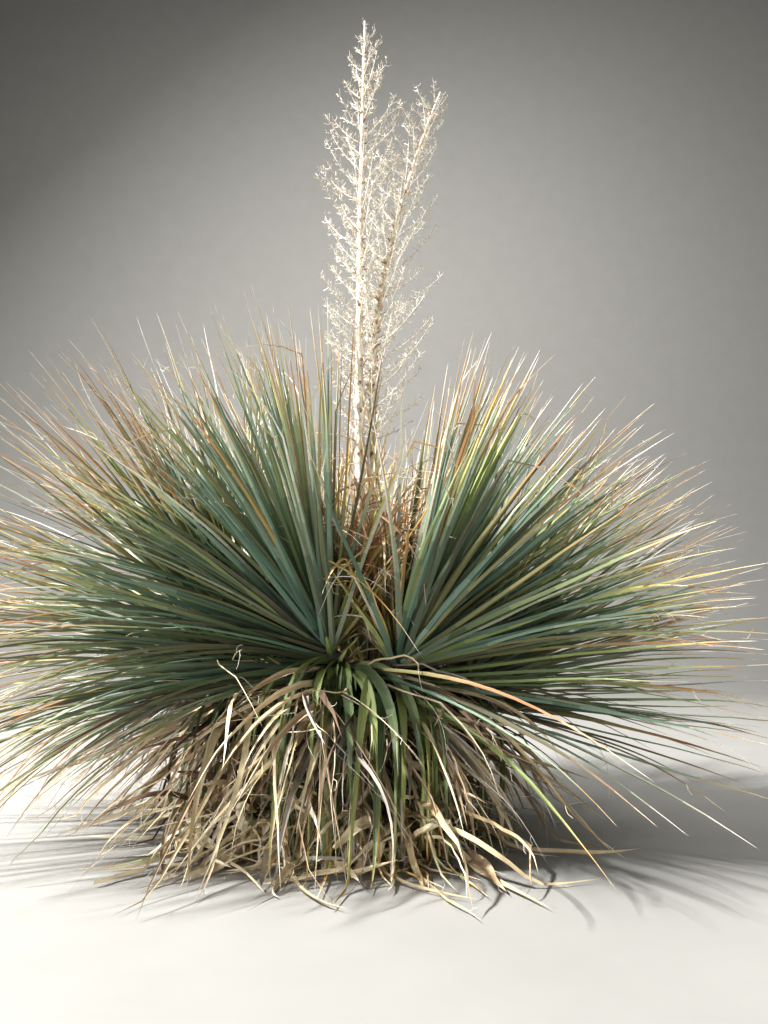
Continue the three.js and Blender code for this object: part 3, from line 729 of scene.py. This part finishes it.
def broken_leaves(batch, rosette, rng):
    """Short dry leaves round the stalks' feet, broken over and curled, with loose fibres."""
    shares = stations(LEAF_SECTIONS)
    towards = BROKEN_TOWARDS[rosette["name"]]
    for _ in range(BROKEN_LEAVES):
        leaf = dict(azimuth=towards + rng.normal(0, 34), elevation=rng.uniform(48, 88),
                    bend=rng.uniform(-5, 30), drift=rng.uniform(-25, 25), polar=40)
        path = leaf_path(leaf_start(rosette, leaf), leaf, rng.uniform(0.35, 1.05), shares, 0.01, 3.5, rng)
        start = int(np.searchsorted(shares, rng.uniform(0.5, 0.92)))
        path = bent_over(path, start, rng, 30, 120, 0.12)
        halves = 0.5 * rng.uniform(0.006, 0.030) * taper(shares)
        run = rng.choice(["rusty", "orange", "tan", "pale", "pale", "ashy"])
        slots = LEAVES.at(run, np.interp(shares, [0, 0.5, 1], [0.2, rng.uniform(0.35, 0.8), 1]))
        twist = np.cumsum(rng.normal(0, 0.16, len(shares)))
        strap(batch, path, axis_of(rosette), halves, slots, 0.5, 0.0025, twist)
        fray(batch, path, rng, rng.integers(1, 4))


def heart(batch, rosette):
    """The woody middle of a head, hidden under the leaf bases."""
    head, axis = np.array(rosette["head"]), axis_of(rosette)
    e1, e2 = basis_of(axis)
    angle = np.linspace(0, 2 * np.pi, 17)[:-1]
    profile = [(-0.080, 0.044), (-0.055, 0.044), (-0.025, 0.042), (0.005, 0.034), (0.025, 0.018)]
    if rosette["name"] == "middle":
        profile = [(-0.080, 0.046), (-0.060, 0.056), (-0.035, 0.058)]
    rings = np.array([
        [head + axis * z + r * (e1 * math.cos(a) + e2 * math.sin(a)) for a in angle] for z, r in profile
    ])
    batch.tube(rings, np.full(len(profile), LEAVES.at("brown", 0)))


def sheaths(batch, rosette, rng):
    """Short broad leaf bases that hide the woody middle of a head."""
    shares = stations(6)
    for k in range(SHEATHS):
        leaf = dict(azimuth=k * GOLDEN_ANGLE, elevation=rng.uniform(-10, 70), bend=rng.uniform(-20, 20),
                    drift=0)
        leaf["polar"] = 90 - leaf["elevation"]
        path = leaf_path(leaf_start(rosette, leaf), leaf, rng.uniform(0.05, 0.16), shares, 0.01, 3.0, rng)
        halves = rng.uniform(0.010, 0.019) * (1 - 0.8 * shares**1.5)
        run = rng.choice(["green", "pale", "tan", "rusty"])
        slots = LEAVES.at(run, np.linspace(rng.uniform(0, 0.15), rng.uniform(0.15, 0.7), len(shares)))
        strap(batch, path, axis_of(rosette), halves, slots, 0.4, 0.003)


def gap_at(rosette, leaf):
    """How much a head thins out at a leaf's heading, in broad waves from 0 to 1."""
    turn, tilt = math.radians(leaf["azimuth"]), math.radians(leaf["polar"])
    phase = 1.3 * ROSETTES.index(rosette)
    return 0.5 + 0.5 * math.sin(5 * turn + phase + 2 * math.sin(3 * tilt)) * math.sin(7 * tilt + 2 * turn)


def missing(rosette, leaf, rng):
    """Whether a leaf falls in a gap of its head, or among those that have died low on the right."""
    low_right = leaf["elevation"] < LOW_RIGHT_BELOW and abs(leaf["azimuth"]) < LOW_RIGHT_HALF_ANGLE
    chance = LOW_RIGHT_LOSS if low_right else GAP_DEPTH * gap_at(rosette, leaf) ** 2
    return rng.random() < chance


def living_leaves(rosette):
    batch = Batch()
    rng = np.random.default_rng(100 + ROSETTES.index(rosette))
    heart(batch, rosette)
    for k in range(rosette["leaves"]):
        leaf = leaf_of(rosette, k)
        if not leaf["alive"] or missing(rosette, leaf, rng):
            continue
        leaf["azimuth"] += rng.normal(0, SCATTER[0])
        leaf["elevation"] += rng.normal(0, SCATTER[1])
        shares = stations(SLACK_SECTIONS if leaf["slack"] else LEAF_SECTIONS, TIP_CROWDING)
        start = leaf_start(rosette, leaf) + rng.normal(0, FOOT_SCATTER, 3)
        for share in LENGTH_TRIES:
            path = leaf_path(start, leaf, leaf["length"] * share, shares, 0.012, WANDER, rng)
            if in_own_space(rosette, path[3:], rosette["mingle"]) and in_reach(path):
                if before_stalks(path) and rng.random() > OPEN_CHANCE:
                    break
                living_leaf(batch, rosette, leaf, path, shares, rng)
                break
    if rosette["name"].startswith("front"):
        broken_leaves(batch, rosette, rng)
    if rosette["name"] != "middle":
        sheaths(batch, rosette, rng)
    return batch


# Skirts


def dead_leaf_of(rosette, k):
    random = seeded(ROSETTES.index(rosette) * 1000 + 500 + k)
    spread = rosette["spread"]
    return dict(azimuth=k * GOLDEN_ANGLE + 20 * random(), elevation=lerp(-34, 4, random()),
                length=DEAD_LENGTH * lerp(0.62, 1.1, random()) * lerp(1, SPREAD_LENGTH, spread),
                bend=lerp(46, 84, random()) * lerp(1, SPREAD_BEND, spread),
                drift=30 * (random() - 0.5), twist=90 * (random() - 0.5))


def dead_colours(shares, broad, rng):
    """A dead leaf's own run of colours, darker where it is held."""
    run = rng.choice(["tan", "grey", "brown"], p=[0.6, 0.16, 0.24] if broad else [0.36, 0.52, 0.12])
    first, last = rng.uniform(0.0, 0.8), rng.uniform(0.3, 1)
    place = np.interp(shares, [0, 0.15, 1], [0, first, last])
    return LEAVES.at(run, place + rng.normal(0, 0.03, len(shares)))


def cream_colours(shares, most, rng):
    """Bleached leaves, up to a share of the palest colour."""
    first, last = most * rng.uniform(0.1, 0.8), most * rng.uniform(0.5, 1)
    return LEAVES.at("cream", np.interp(shares, [0, 1], [first, last]) + rng.normal(0, 0.03, len(shares)))


def dead_leaf(batch, rosette, leaf, start, rng):
    broad = rng.random() < BROAD_SHARE
    width = rng.uniform(0.020, 0.038) if broad else rng.uniform(0.004, 0.013)
    shares = stations(DEAD_SECTIONS)
    wobble = 2.5 if broad else 9.0
    for share in LENGTH_TRIES:
        path = leaf_path(start, leaf, leaf["length"] * share, shares, 0.25 * width + 0.004, wobble, rng)
        if in_own_space(rosette, path[4:], DEAD_MINGLE):
            break
    else:
        return
    if rng.random() < FOLDED_SHARE:
        path = bent_over(path, rng.integers(3, DEAD_SECTIONS - 2), rng, 15, 80, 0.06)
    halves = 0.5 * width * taper(shares, 1.9) * (1 + 0.5 * np.exp(-shares / 0.05))
    twist = math.radians(leaf["twist"]) * shares * rng.uniform(1, 2.6)
    twist += np.cumsum(rng.normal(0, 0.12, len(path)))
    fold = rng.uniform(0.1, 1.0)
    bleached = rng.random() < BLEACHED_SHARE
    slots = cream_colours(shares, 0.75, rng) if bleached else dead_colours(shares, broad, rng)
    strap(batch, path, UP, halves, slots, fold, 0.0022, twist)
    if rng.random() < 0.5:
        fray(batch, path, rng, rng.integers(1, 3))


def skirt(rosette):
    """Dead leaves that hang from under a head and from its stem, and old leaf bases."""
    batch = Batch()
    rng = np.random.default_rng(200 + ROSETTES.index(rosette))
    axis, head, neck, foot = stem_line(rosette)
    for k in range(rosette["dead"]):
        leaf = dead_leaf_of(rosette, k)
        leaf["azimuth"] += BUNCHING * math.sin(math.radians(5 * leaf["azimuth"])) + rng.normal(0, 5)
        leaf["elevation"] = min(6, leaf["elevation"] + rng.normal(0, 12))
        centre = head - axis * (DRUM_DEPTH + SLEEVE_DEPTH * rng.uniform(-0.3, 0.95))
        if k % 3 == 2:
            centre = foot + (neck - foot) * rng.uniform(0.15, 1.0)
            leaf["elevation"] += rng.uniform(-20, 8)
            leaf["length"] *= rng.uniform(0.5, 0.85)
        elif rng.random() < 0.25:
            leaf["bend"] *= rng.uniform(0.4, 1.6)
            leaf["drift"] *= 3
        e1, _ = basis_of(axis, heading(leaf["azimuth"], 0))
        dead_leaf(batch, rosette, leaf, centre + e1 * 0.045, rng)
    leaf_bases(batch, rosette, rng)
    return batch


def leaf_bases(batch, rosette, rng):
    """Short broad stubs of old leaves that clasp the stem, one above the other."""
    axis, head, neck, foot = stem_line(rosette)
    top = head - axis * 0.5 * DRUM_DEPTH
    shares = stations(5)
    for k in range(LEAF_BASES):
        azimuth = k * GOLDEN_ANGLE
        centre = lerp(foot, top, (k + rng.random()) / LEAF_BASES)
        e1, _ = basis_of(axis, heading(azimuth, 0))
        leaf = dict(azimuth=azimuth, elevation=rng.uniform(5, 60), bend=rng.uniform(-10, 40), drift=0)
        path = leaf_path(centre + e1 * 0.040, leaf, rng.uniform(0.04, 0.10), shares, 0.006, 3.0, rng)
        halves = rng.uniform(0.016, 0.026) * (1 - 0.45 * shares)
        slots = LEAVES.at("tan", np.linspace(rng.uniform(0, 0.4), rng.uniform(0.3, 1), len(shares)))
        strap(batch, path, axis, halves, slots, 0.3, 0.004)


def foot_litter():
    """Broad dead leaves that spill over the root crown, and a curled heap at its foot."""
    batch = Batch()
    rng = np.random.default_rng(77)
    shares = stations(DEAD_SECTIONS)
    for k in range(FOOT_LEAVES):
        if k % 5 > 1:
            start = np.array([rng.uniform(*HEAP_X), rng.uniform(*HEAP_Y), rng.uniform(*HEAP_Z)])
            azimuth = HEAP_TOWARDS + rng.normal(0, 60)
        else:
            azimuth = k * GOLDEN_ANGLE
            start = np.array([0, ROOT_CROWN_Y, ROOT_CROWN_HEIGHT * rng.uniform(0.3, 1.15)])
            start = start + heading(azimuth, 0) * ROOT_CROWN_RADIUS * rng.uniform(0.45, 0.98)
        leaf = dict(azimuth=azimuth + rng.normal(0, 28), elevation=rng.uniform(-20, 45),
                    bend=rng.uniform(30, 110), drift=rng.normal(0, 60), twist=rng.uniform(-120, 120))
        broad = rng.random() < 0.6
        width = rng.uniform(0.018, 0.042) if broad else rng.uniform(0.005, 0.014)
        length = rng.uniform(0.15, 0.46)
        path = leaf_path(start, leaf, length, shares, 0.3 * width + 0.004, 6.0, rng)
        if rng.random() < FOLDED_SHARE:
            path = bent_over(path, rng.integers(3, DEAD_SECTIONS - 2), rng, 20, 110, 0.02)
        halves = 0.5 * width * taper(shares, 2.4)
        twist = math.radians(leaf["twist"]) * shares + np.cumsum(rng.normal(0, 0.14, len(path)))
        slots = dead_colours(shares, broad, rng) if rng.random() < 0.3 else cream_colours(shares, 1, rng)
        strap(batch, path, UP, halves, slots, rng.uniform(0.0, 0.8), 0.0022, twist)
        if rng.random() < 0.4:
            fray(batch, path, rng, 2)
    for _ in range(GROUND_STRAPS):
        ground_strap(batch, rng)
    for _ in range(SMALL_CURLS):
        small_curl(batch, rng)
    return batch


def ground_strap(batch, rng):
    """A long dead leaf that comes down from the heap and runs out along the ground."""
    azimuth = rng.uniform(*STRAPS_TOWARDS)
    start = np.array([0, ROOT_CROWN_Y, rng.uniform(0.06, 0.20)])
    start = start + heading(azimuth, 0) * (ROOT_CROWN_RADIUS + rng.uniform(0.08, 0.20))
    leaf = dict(azimuth=azimuth + rng.normal(0, 14), elevation=rng.uniform(-30, 10),
                bend=rng.uniform(10, 60), drift=rng.normal(0, 50))
    shares = stations(DEAD_SECTIONS)
    width = rng.uniform(0.018, 0.038)
    length = rng.uniform(0.45, 0.80)
    path = leaf_path(start, leaf, length, shares, 0.25 * width + 0.004, 5.0, rng)
    halves = 0.5 * width * taper(shares, 2.2)
    twist = rng.uniform(-1.6, 1.6) * shares + np.cumsum(rng.normal(0, 0.12, len(path)))
    slots = cream_colours(shares, 0.5, rng)
    strap(batch, path, UP, halves, slots, rng.uniform(0.1, 0.6), 0.0022, twist)
    fray(batch, path, rng, 1)


def small_curl(batch, rng):
    """A short scrap that is rolled up, on or near the ground."""
    way = unit(rng.normal(0, 1, 3))
    turn = unit(rng.normal(0, 1, 3)) * rng.uniform(0.3, 1.1)
    points = [np.array([rng.uniform(*HEAP_X), rng.uniform(*HEAP_Y), rng.uniform(0.01, 0.12)])]
    step = rng.uniform(0.008, 0.024)
    for _ in range(8):
        way = unit(way + np.cross(turn, way))
        points.append(points[-1] + way * step)
    path = np.array(points)
    path[:, 2] = np.maximum(path[:, 2], 0.004)
    shares = np.linspace(0, 1, len(path))
    halves = rng.uniform(0.002, 0.010) * taper(shares, 2)
    slots = cream_colours(shares, 1, rng) if rng.random() < 0.6 else dead_colours(shares, False, rng)
    strap(batch, path, UP, halves, slots, 0.2, 0.002)


# Stems and root crown


def stem_line(rosette):
    axis, head = axis_of(rosette), np.array(rosette["head"])
    neck = head - axis * (DRUM_DEPTH + SLEEVE_DEPTH + 0.012)
    away = np.array([head[0], head[1] - ROOT_CROWN_Y, 0.0])
    reach = min(np.linalg.norm(away), STEM_FOOT_REACH)
    foot = np.array([0, ROOT_CROWN_Y, ROOT_CROWN_HEIGHT]) + unit(away) * reach
    return axis, head, neck, foot


def relief(points, out, phase, depth):
    """Moves points outward by a few crossed waves, for scarred bark."""
    z = points[..., 2]
    angle = np.arctan2(out[..., 1], out[..., 0])
    bands = np.abs(np.sin(z * 210 + 2.4 * np.sin(angle * 3 + phase)))
    lumps = np.sin(angle * 7 + z * 33 + phase) * np.sin(angle * 4 - z * 61)
    return points + out * (depth * (0.7 * bands + 0.6 * lumps) - depth)[..., None]


def tube_mesh(name, rings, material, sharp):
    batch = Batch()
    batch.tube(rings, np.zeros(len(rings), int))
    return batch.build(name, [material], sharp)


def limb_mesh(name, centres, radii, material, depth, sides=48, phase=0.0):
    out = outward(centres, LIMB_FACING, sides)
    rings = centres[:, None] + radii[:, None, None] * out
    return tube_mesh(name, relief(rings, out, phase, depth), material, 60)


def stem_mesh(rosette, material):
    axis, head, neck, foot = stem_line(rosette)
    top = head - axis * DRUM_DEPTH
    t = np.linspace(0, 1, 60)[:, None]
    middle = lerp(foot, neck, 0.55)
    a, b, c = lerp(foot, middle, t), lerp(middle, neck, t), lerp(neck, top, t)
    centres = lerp(lerp(a, b, t), lerp(b, c, t), t)
    radii = lerp(STEM_FOOT_RADIUS, STEM_TOP_RADIUS, t[:, 0])
    phase = ROSETTES.index(rosette) * 1.7
    return limb_mesh(f"stem_bark_{rosette['name']}", centres, radii, material, 0.004, phase=phase)


def root_crown_mesh(material):
    z = np.linspace(0, 1, 40)
    shape = np.interp(z, [0, 0.25, 0.65, 0.97, 1], [1, 0.93, 0.89, 0.85, 0.8])
    centres = np.stack([np.zeros(40), np.full(40, ROOT_CROWN_Y), z * ROOT_CROWN_HEIGHT], 1)
    return limb_mesh("root_crown_bark", centres, ROOT_CROWN_RADIUS * shape, material, 0.010, 160)


# Flower stalks


def stalk_foot(name):
    return np.array([*STALKS[name]["foot"], 0.600 - DRUM_DEPTH])


def stalk_centre(name, share):
    base, top = stalk_foot(name), STALKS[name]["top"]
    z = lerp(base[2], top, share)
    if name == "a":
        return np.array([base[0] + STALK_A_BOW * math.sin(math.pi * share), base[1], z])
    over = max(0, z - STALK_B_BEND_FROM) / (top - STALK_B_BEND_FROM)
    sway = -0.016 * math.sin(math.pi * share)
    return np.array([base[0] + sway + STALK_B_REACH * over**STALK_B_POWER, base[1] + 0.030 * share, z])


def stalk_radius(name, share):
    return lerp(STALKS[name]["radius"], STALK_TIP_RADIUS, share**1.15)


def stalk_mesh(name, material):
    shares = np.linspace(0, 1, STALK_STEPS)
    centres = np.array([stalk_centre(name, s) for s in shares])
    radii = stalk_radius(name, shares)
    phase = 0.0 if name == "a" else 2.0
    knots = 1 + 0.07 * np.abs(np.sin(shares * 150 + phase)) ** 14
    angle = 2 * np.pi * np.arange(STALK_SIDES) / STALK_SIDES
    ribs = 1 - 0.035 * np.abs(np.sin(angle * 4.0 + phase))
    out = outward(centres, LIMB_FACING, STALK_SIDES)
    rings = centres[:, None] + (radii * knots)[:, None, None] * ribs[None, :, None] * out
    return tube_mesh(f"flower_stalk_{name}_wood", rings, material, 70)


def branch_share(height, rule):
    """How long a branch is at a share of the panicle's height, against the longest."""
    if height < rule["fullest"]:
        return lerp(rule["low"], 1, (height / rule["fullest"]) ** 1.3)
    return lerp(1, rule["tip"], ((height - rule["fullest"]) / (1 - rule["fullest"])) ** 1.35)


def twig_line(start, azimuth, elevation, length, rng):
    """A branch's centre line, which wavers and rises towards its end."""
    points = [np.array(start, float)]
    sway = np.zeros(2)
    for i in range(BRANCH_STEPS):
        sway = 0.7 * sway + rng.normal(0, BRANCH_WANDER, 2)
        rise = BRANCH_RISE * (i + 0.5) / BRANCH_STEPS
        way = heading(azimuth + sway[0], elevation + rise + sway[1])
        points.append(points[-1] + way * length / BRANCH_STEPS)
    return np.array(points)


def branchlet(batch, start, along, rng, size, steps=4):
    """A short spur that leaves its branch at an angle and curls up at the end."""
    e1, e2 = basis_of(along, (0.3, 0.2, 1.0))
    turn = rng.uniform(0, 2 * math.pi)
    out = e1 * math.cos(turn) + e2 * math.sin(turn)
    way = unit(along * rng.uniform(0.0, 0.6) + out)
    curl = (UP * rng.uniform(0.3, 0.8) + rng.normal(0, 0.2, 3)) * rng.uniform(0.5, 1.3) * 4 / steps
    points = [start]
    for _ in range(steps):
        points.append(points[-1] + way * size / steps)
        way = unit(way + curl)
    radii = BRANCHLET_RADIUS * np.linspace(1.1, 0.55, steps + 1)
    slots = np.full(steps + 1, TWIGS.at("white", rng.beta(1.3, 1.6)))
    round_twig(batch, np.array(points), radii, slots)
    return points, way


def panicle(name):
    rule = PANICLES[name]
    batch = Batch()
    rng = np.random.default_rng(rule["seed"])
    base, top = stalk_foot(name)[2], STALKS[name]["top"]
    for m in range(rule["branches"]):
        height = (m + rng.uniform(0, 0.8)) / rule["branches"]
        share = (lerp(rule["start"], rule["end"], height) - base) / (top - base)
        centre = stalk_centre(name, share)
        azimuth = rule["turn"] + m * GOLDEN_ANGLE + rng.normal(0, 12)
        reach = branch_share(height, rule)
        facing = max(0, math.cos(math.radians(azimuth - rule["other"])))
        length = rule["length"] * reach * rng.uniform(0.75, 1.1)
        length *= 1 + CROWDING * facing * (height - CROWDED_BELOW)
        start = centre + heading(azimuth, 20) * stalk_radius(name, share) * 0.6
        elevation = lerp(*BRANCH_ELEVATION, min(1, height / 0.5)) + rng.uniform(-8, 8)
        path = twig_line(start, azimuth, elevation, length, rng)
        radii = BRANCH_RADIUS * np.linspace(1.2, 0.5, len(path)) * (0.6 + 0.4 * reach)
        slots = np.full(len(path), TWIGS.at("white", rng.uniform(0, 0.7)))
        slots[0] = TWIGS.at("scar", rng.uniform(0, 1))
        round_twig(batch, path, radii, slots, 5)
        count = int(length / BRANCHLET_GAP)
        for i in range(count):
            at = lerp(0.08, 0.995, (i + rng.uniform(0, 0.9)) / count) * BRANCH_STEPS
            k = min(int(at), BRANCH_STEPS - 1)
            place = lerp(path[k], path[k + 1], at - k)
            along = unit(path[k + 1] - path[k])
            size = BRANCHLET_LENGTH * rng.uniform(0.5, 1.0) * min(1, 0.55 + length / 0.3)
            points, way = branchlet(batch, place, along, rng, size)
            if rng.random() < 0.6:
                branchlet(batch, points[rng.integers(1, 4)], way, rng, size * 0.55, 2)
    return batch


def bracts(name):
    """Papery bracts that clasp the stalk below the panicle, and scars among its branches."""
    batch = Batch()
    rng = np.random.default_rng(300 + ord(name))
    base, top = stalk_foot(name)[2], STALKS[name]["top"]
    heights = [*np.linspace(0.85, 1.75, LOW_BRACTS), *np.linspace(1.78, top - 0.12, HIGH_BRACTS)]
    shares = stations(9)
    for i, z in enumerate(heights):
        share = (z - base) / (top - base)
        azimuth = i * GOLDEN_ANGLE + rng.uniform(-20, 20)
        radius = stalk_radius(name, share)
        low = i < LOW_BRACTS
        length = rng.uniform(0.14, 0.28) if low else rng.uniform(0.015, 0.05)
        width = radius * (1.7 if low else 1.2)
        start = stalk_centre(name, share) + heading(azimuth, 0) * radius * 0.92
        leaf = dict(azimuth=azimuth, elevation=86 if low else 62, bend=rng.uniform(-5, 70), drift=20)
        path = leaf_path(start, leaf, length, shares, 0.01, 3.0, rng)
        halves = 0.5 * width * taper(shares, 1.2)
        slots = np.full(10, TWIGS.at("white" if low else "scar", rng.uniform(0, 0.9)))
        slots[0] = TWIGS.at("scar", 1)
        facing = heading(azimuth + 180, 0)
        strap(batch, path, facing, halves, slots, 0.5, 0.0012, rng.normal(0, 0.25, 10))
    return batch


# Build everything, and hide the model's parts that the pieces take the place of


def settle(piece, slot, *nodes):
    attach(piece, "root")
    if nodes:
        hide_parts(*nodes)


node_names = [s["node"] for s in frame["record"]["subparts"]]
bark = bark_material()
wood = stalk_material()

settle(root_crown_mesh(bark), "bark", "root_crown")
settle(foot_litter().build("dry_leaves_foot", LEAVES.materials), "dead_leaf")
for rosette in ROSETTES:
    name = rosette["name"]
    settle(stem_mesh(rosette, bark), "bark", f"stem_{name}")
    nodes = [n for n in node_names if n.endswith(f"leaves_{name}") and not n.startswith("dead")]
    settle(living_leaves(rosette).build(f"strap_leaves_{name}", LEAVES.materials), "green_leaf", *nodes)
    if rosette["dead"]:
        piece = skirt(rosette).build(f"dry_leaves_{name}", LEAVES.materials)
        settle(piece, "dead_leaf", f"dead_leaves_{name}")

for name in STALKS:
    settle(stalk_mesh(name, wood), "stalk", f"flower_stalk_{name}")
    nodes = [n for n in node_names if n.startswith(f"panicle_{name}_")]
    settle(panicle(name).build(f"dry_branches_{name}", TWIGS.materials), "panicle", *nodes)
    settle(bracts(name).build(f"bracts_{name}", TWIGS.materials), "panicle")


# Studio


def add_floor():
    mesh = bpy.data.meshes.new("studio_floor")
    half, near, far, high, curve = 30.0, -30.0, 12.0, 26.0, 5.0
    bend = [(far - curve + curve * math.sin(a), curve - curve * math.cos(a))
            for a in np.linspace(0, math.pi / 2, 24)]
    rows = [(near, 0.0), *bend, (far, high)]
    verts = [(x, y, z - 0.001) for y, z in rows for x in (-half, half)]
    faces = [(2 * i, 2 * i + 1, 2 * i + 3, 2 * i + 2) for i in range(len(rows) - 1)]
    mesh.from_pydata(verts, [], faces)
    mesh.shade_smooth()
    mesh.materials.append(floor_material())
    placed("studio_floor", mesh)


# Each light's name, place, target, size and watts
LIGHTS = [
    ("key", (-6.6, -1.6, 8.0), (0, 0, 1.0), 0.8, 3900),
    ("fill", (5.5, -5.0, 3.0), (0, 0, 1.0), 3.5, 70),
    ("rim", (3.2, 4.6, 6.0), (0, 0, 1.4), 2.0, 260),
    ("low", (-3.0, -4.6, 0.9), (-0.1, -0.3, 0.1), 1.4, 130),
    ("backdrop", (0, 3.5, 9.5), (0, 12.0, 3.5), 6.0, 800),
]
WORLD_STRENGTH = 0.08


def add_light(name, place, target, size, watts):
    data = bpy.data.lights.new(name, "AREA")
    data.size = size
    data.energy = watts
    light = placed(name, data)
    way = unit(np.array(target) - np.array(place))
    light.location = place
    light.rotation_euler = (math.acos(-way[2]), 0, math.atan2(way[1], way[0]) - math.pi / 2)


def add_world():
    world = bpy.data.worlds.new("studio")
    world.use_nodes = True
    background = world.node_tree.nodes["Background"]
    background.inputs["Color"].default_value = (1, 1, 1, 1)
    background.inputs["Strength"].default_value = WORLD_STRENGTH
    bpy.context.scene.world = world


def add_camera():
    data = bpy.data.cameras.new("camera")
    data.sensor_width = SENSOR
    data.lens = FOCAL_PIXELS / FRAME_HEIGHT * SENSOR
    camera = placed("camera", data)
    camera.location = CAMERA_PLACE
    camera.rotation_euler = (math.radians(90 + CAMERA_PITCH), 0, 0)
    bpy.context.scene.camera = camera


add_floor()
for light in LIGHTS:
    add_light(*light)
add_world()
add_camera()
bpy.context.scene.view_settings.view_transform = "Standard"
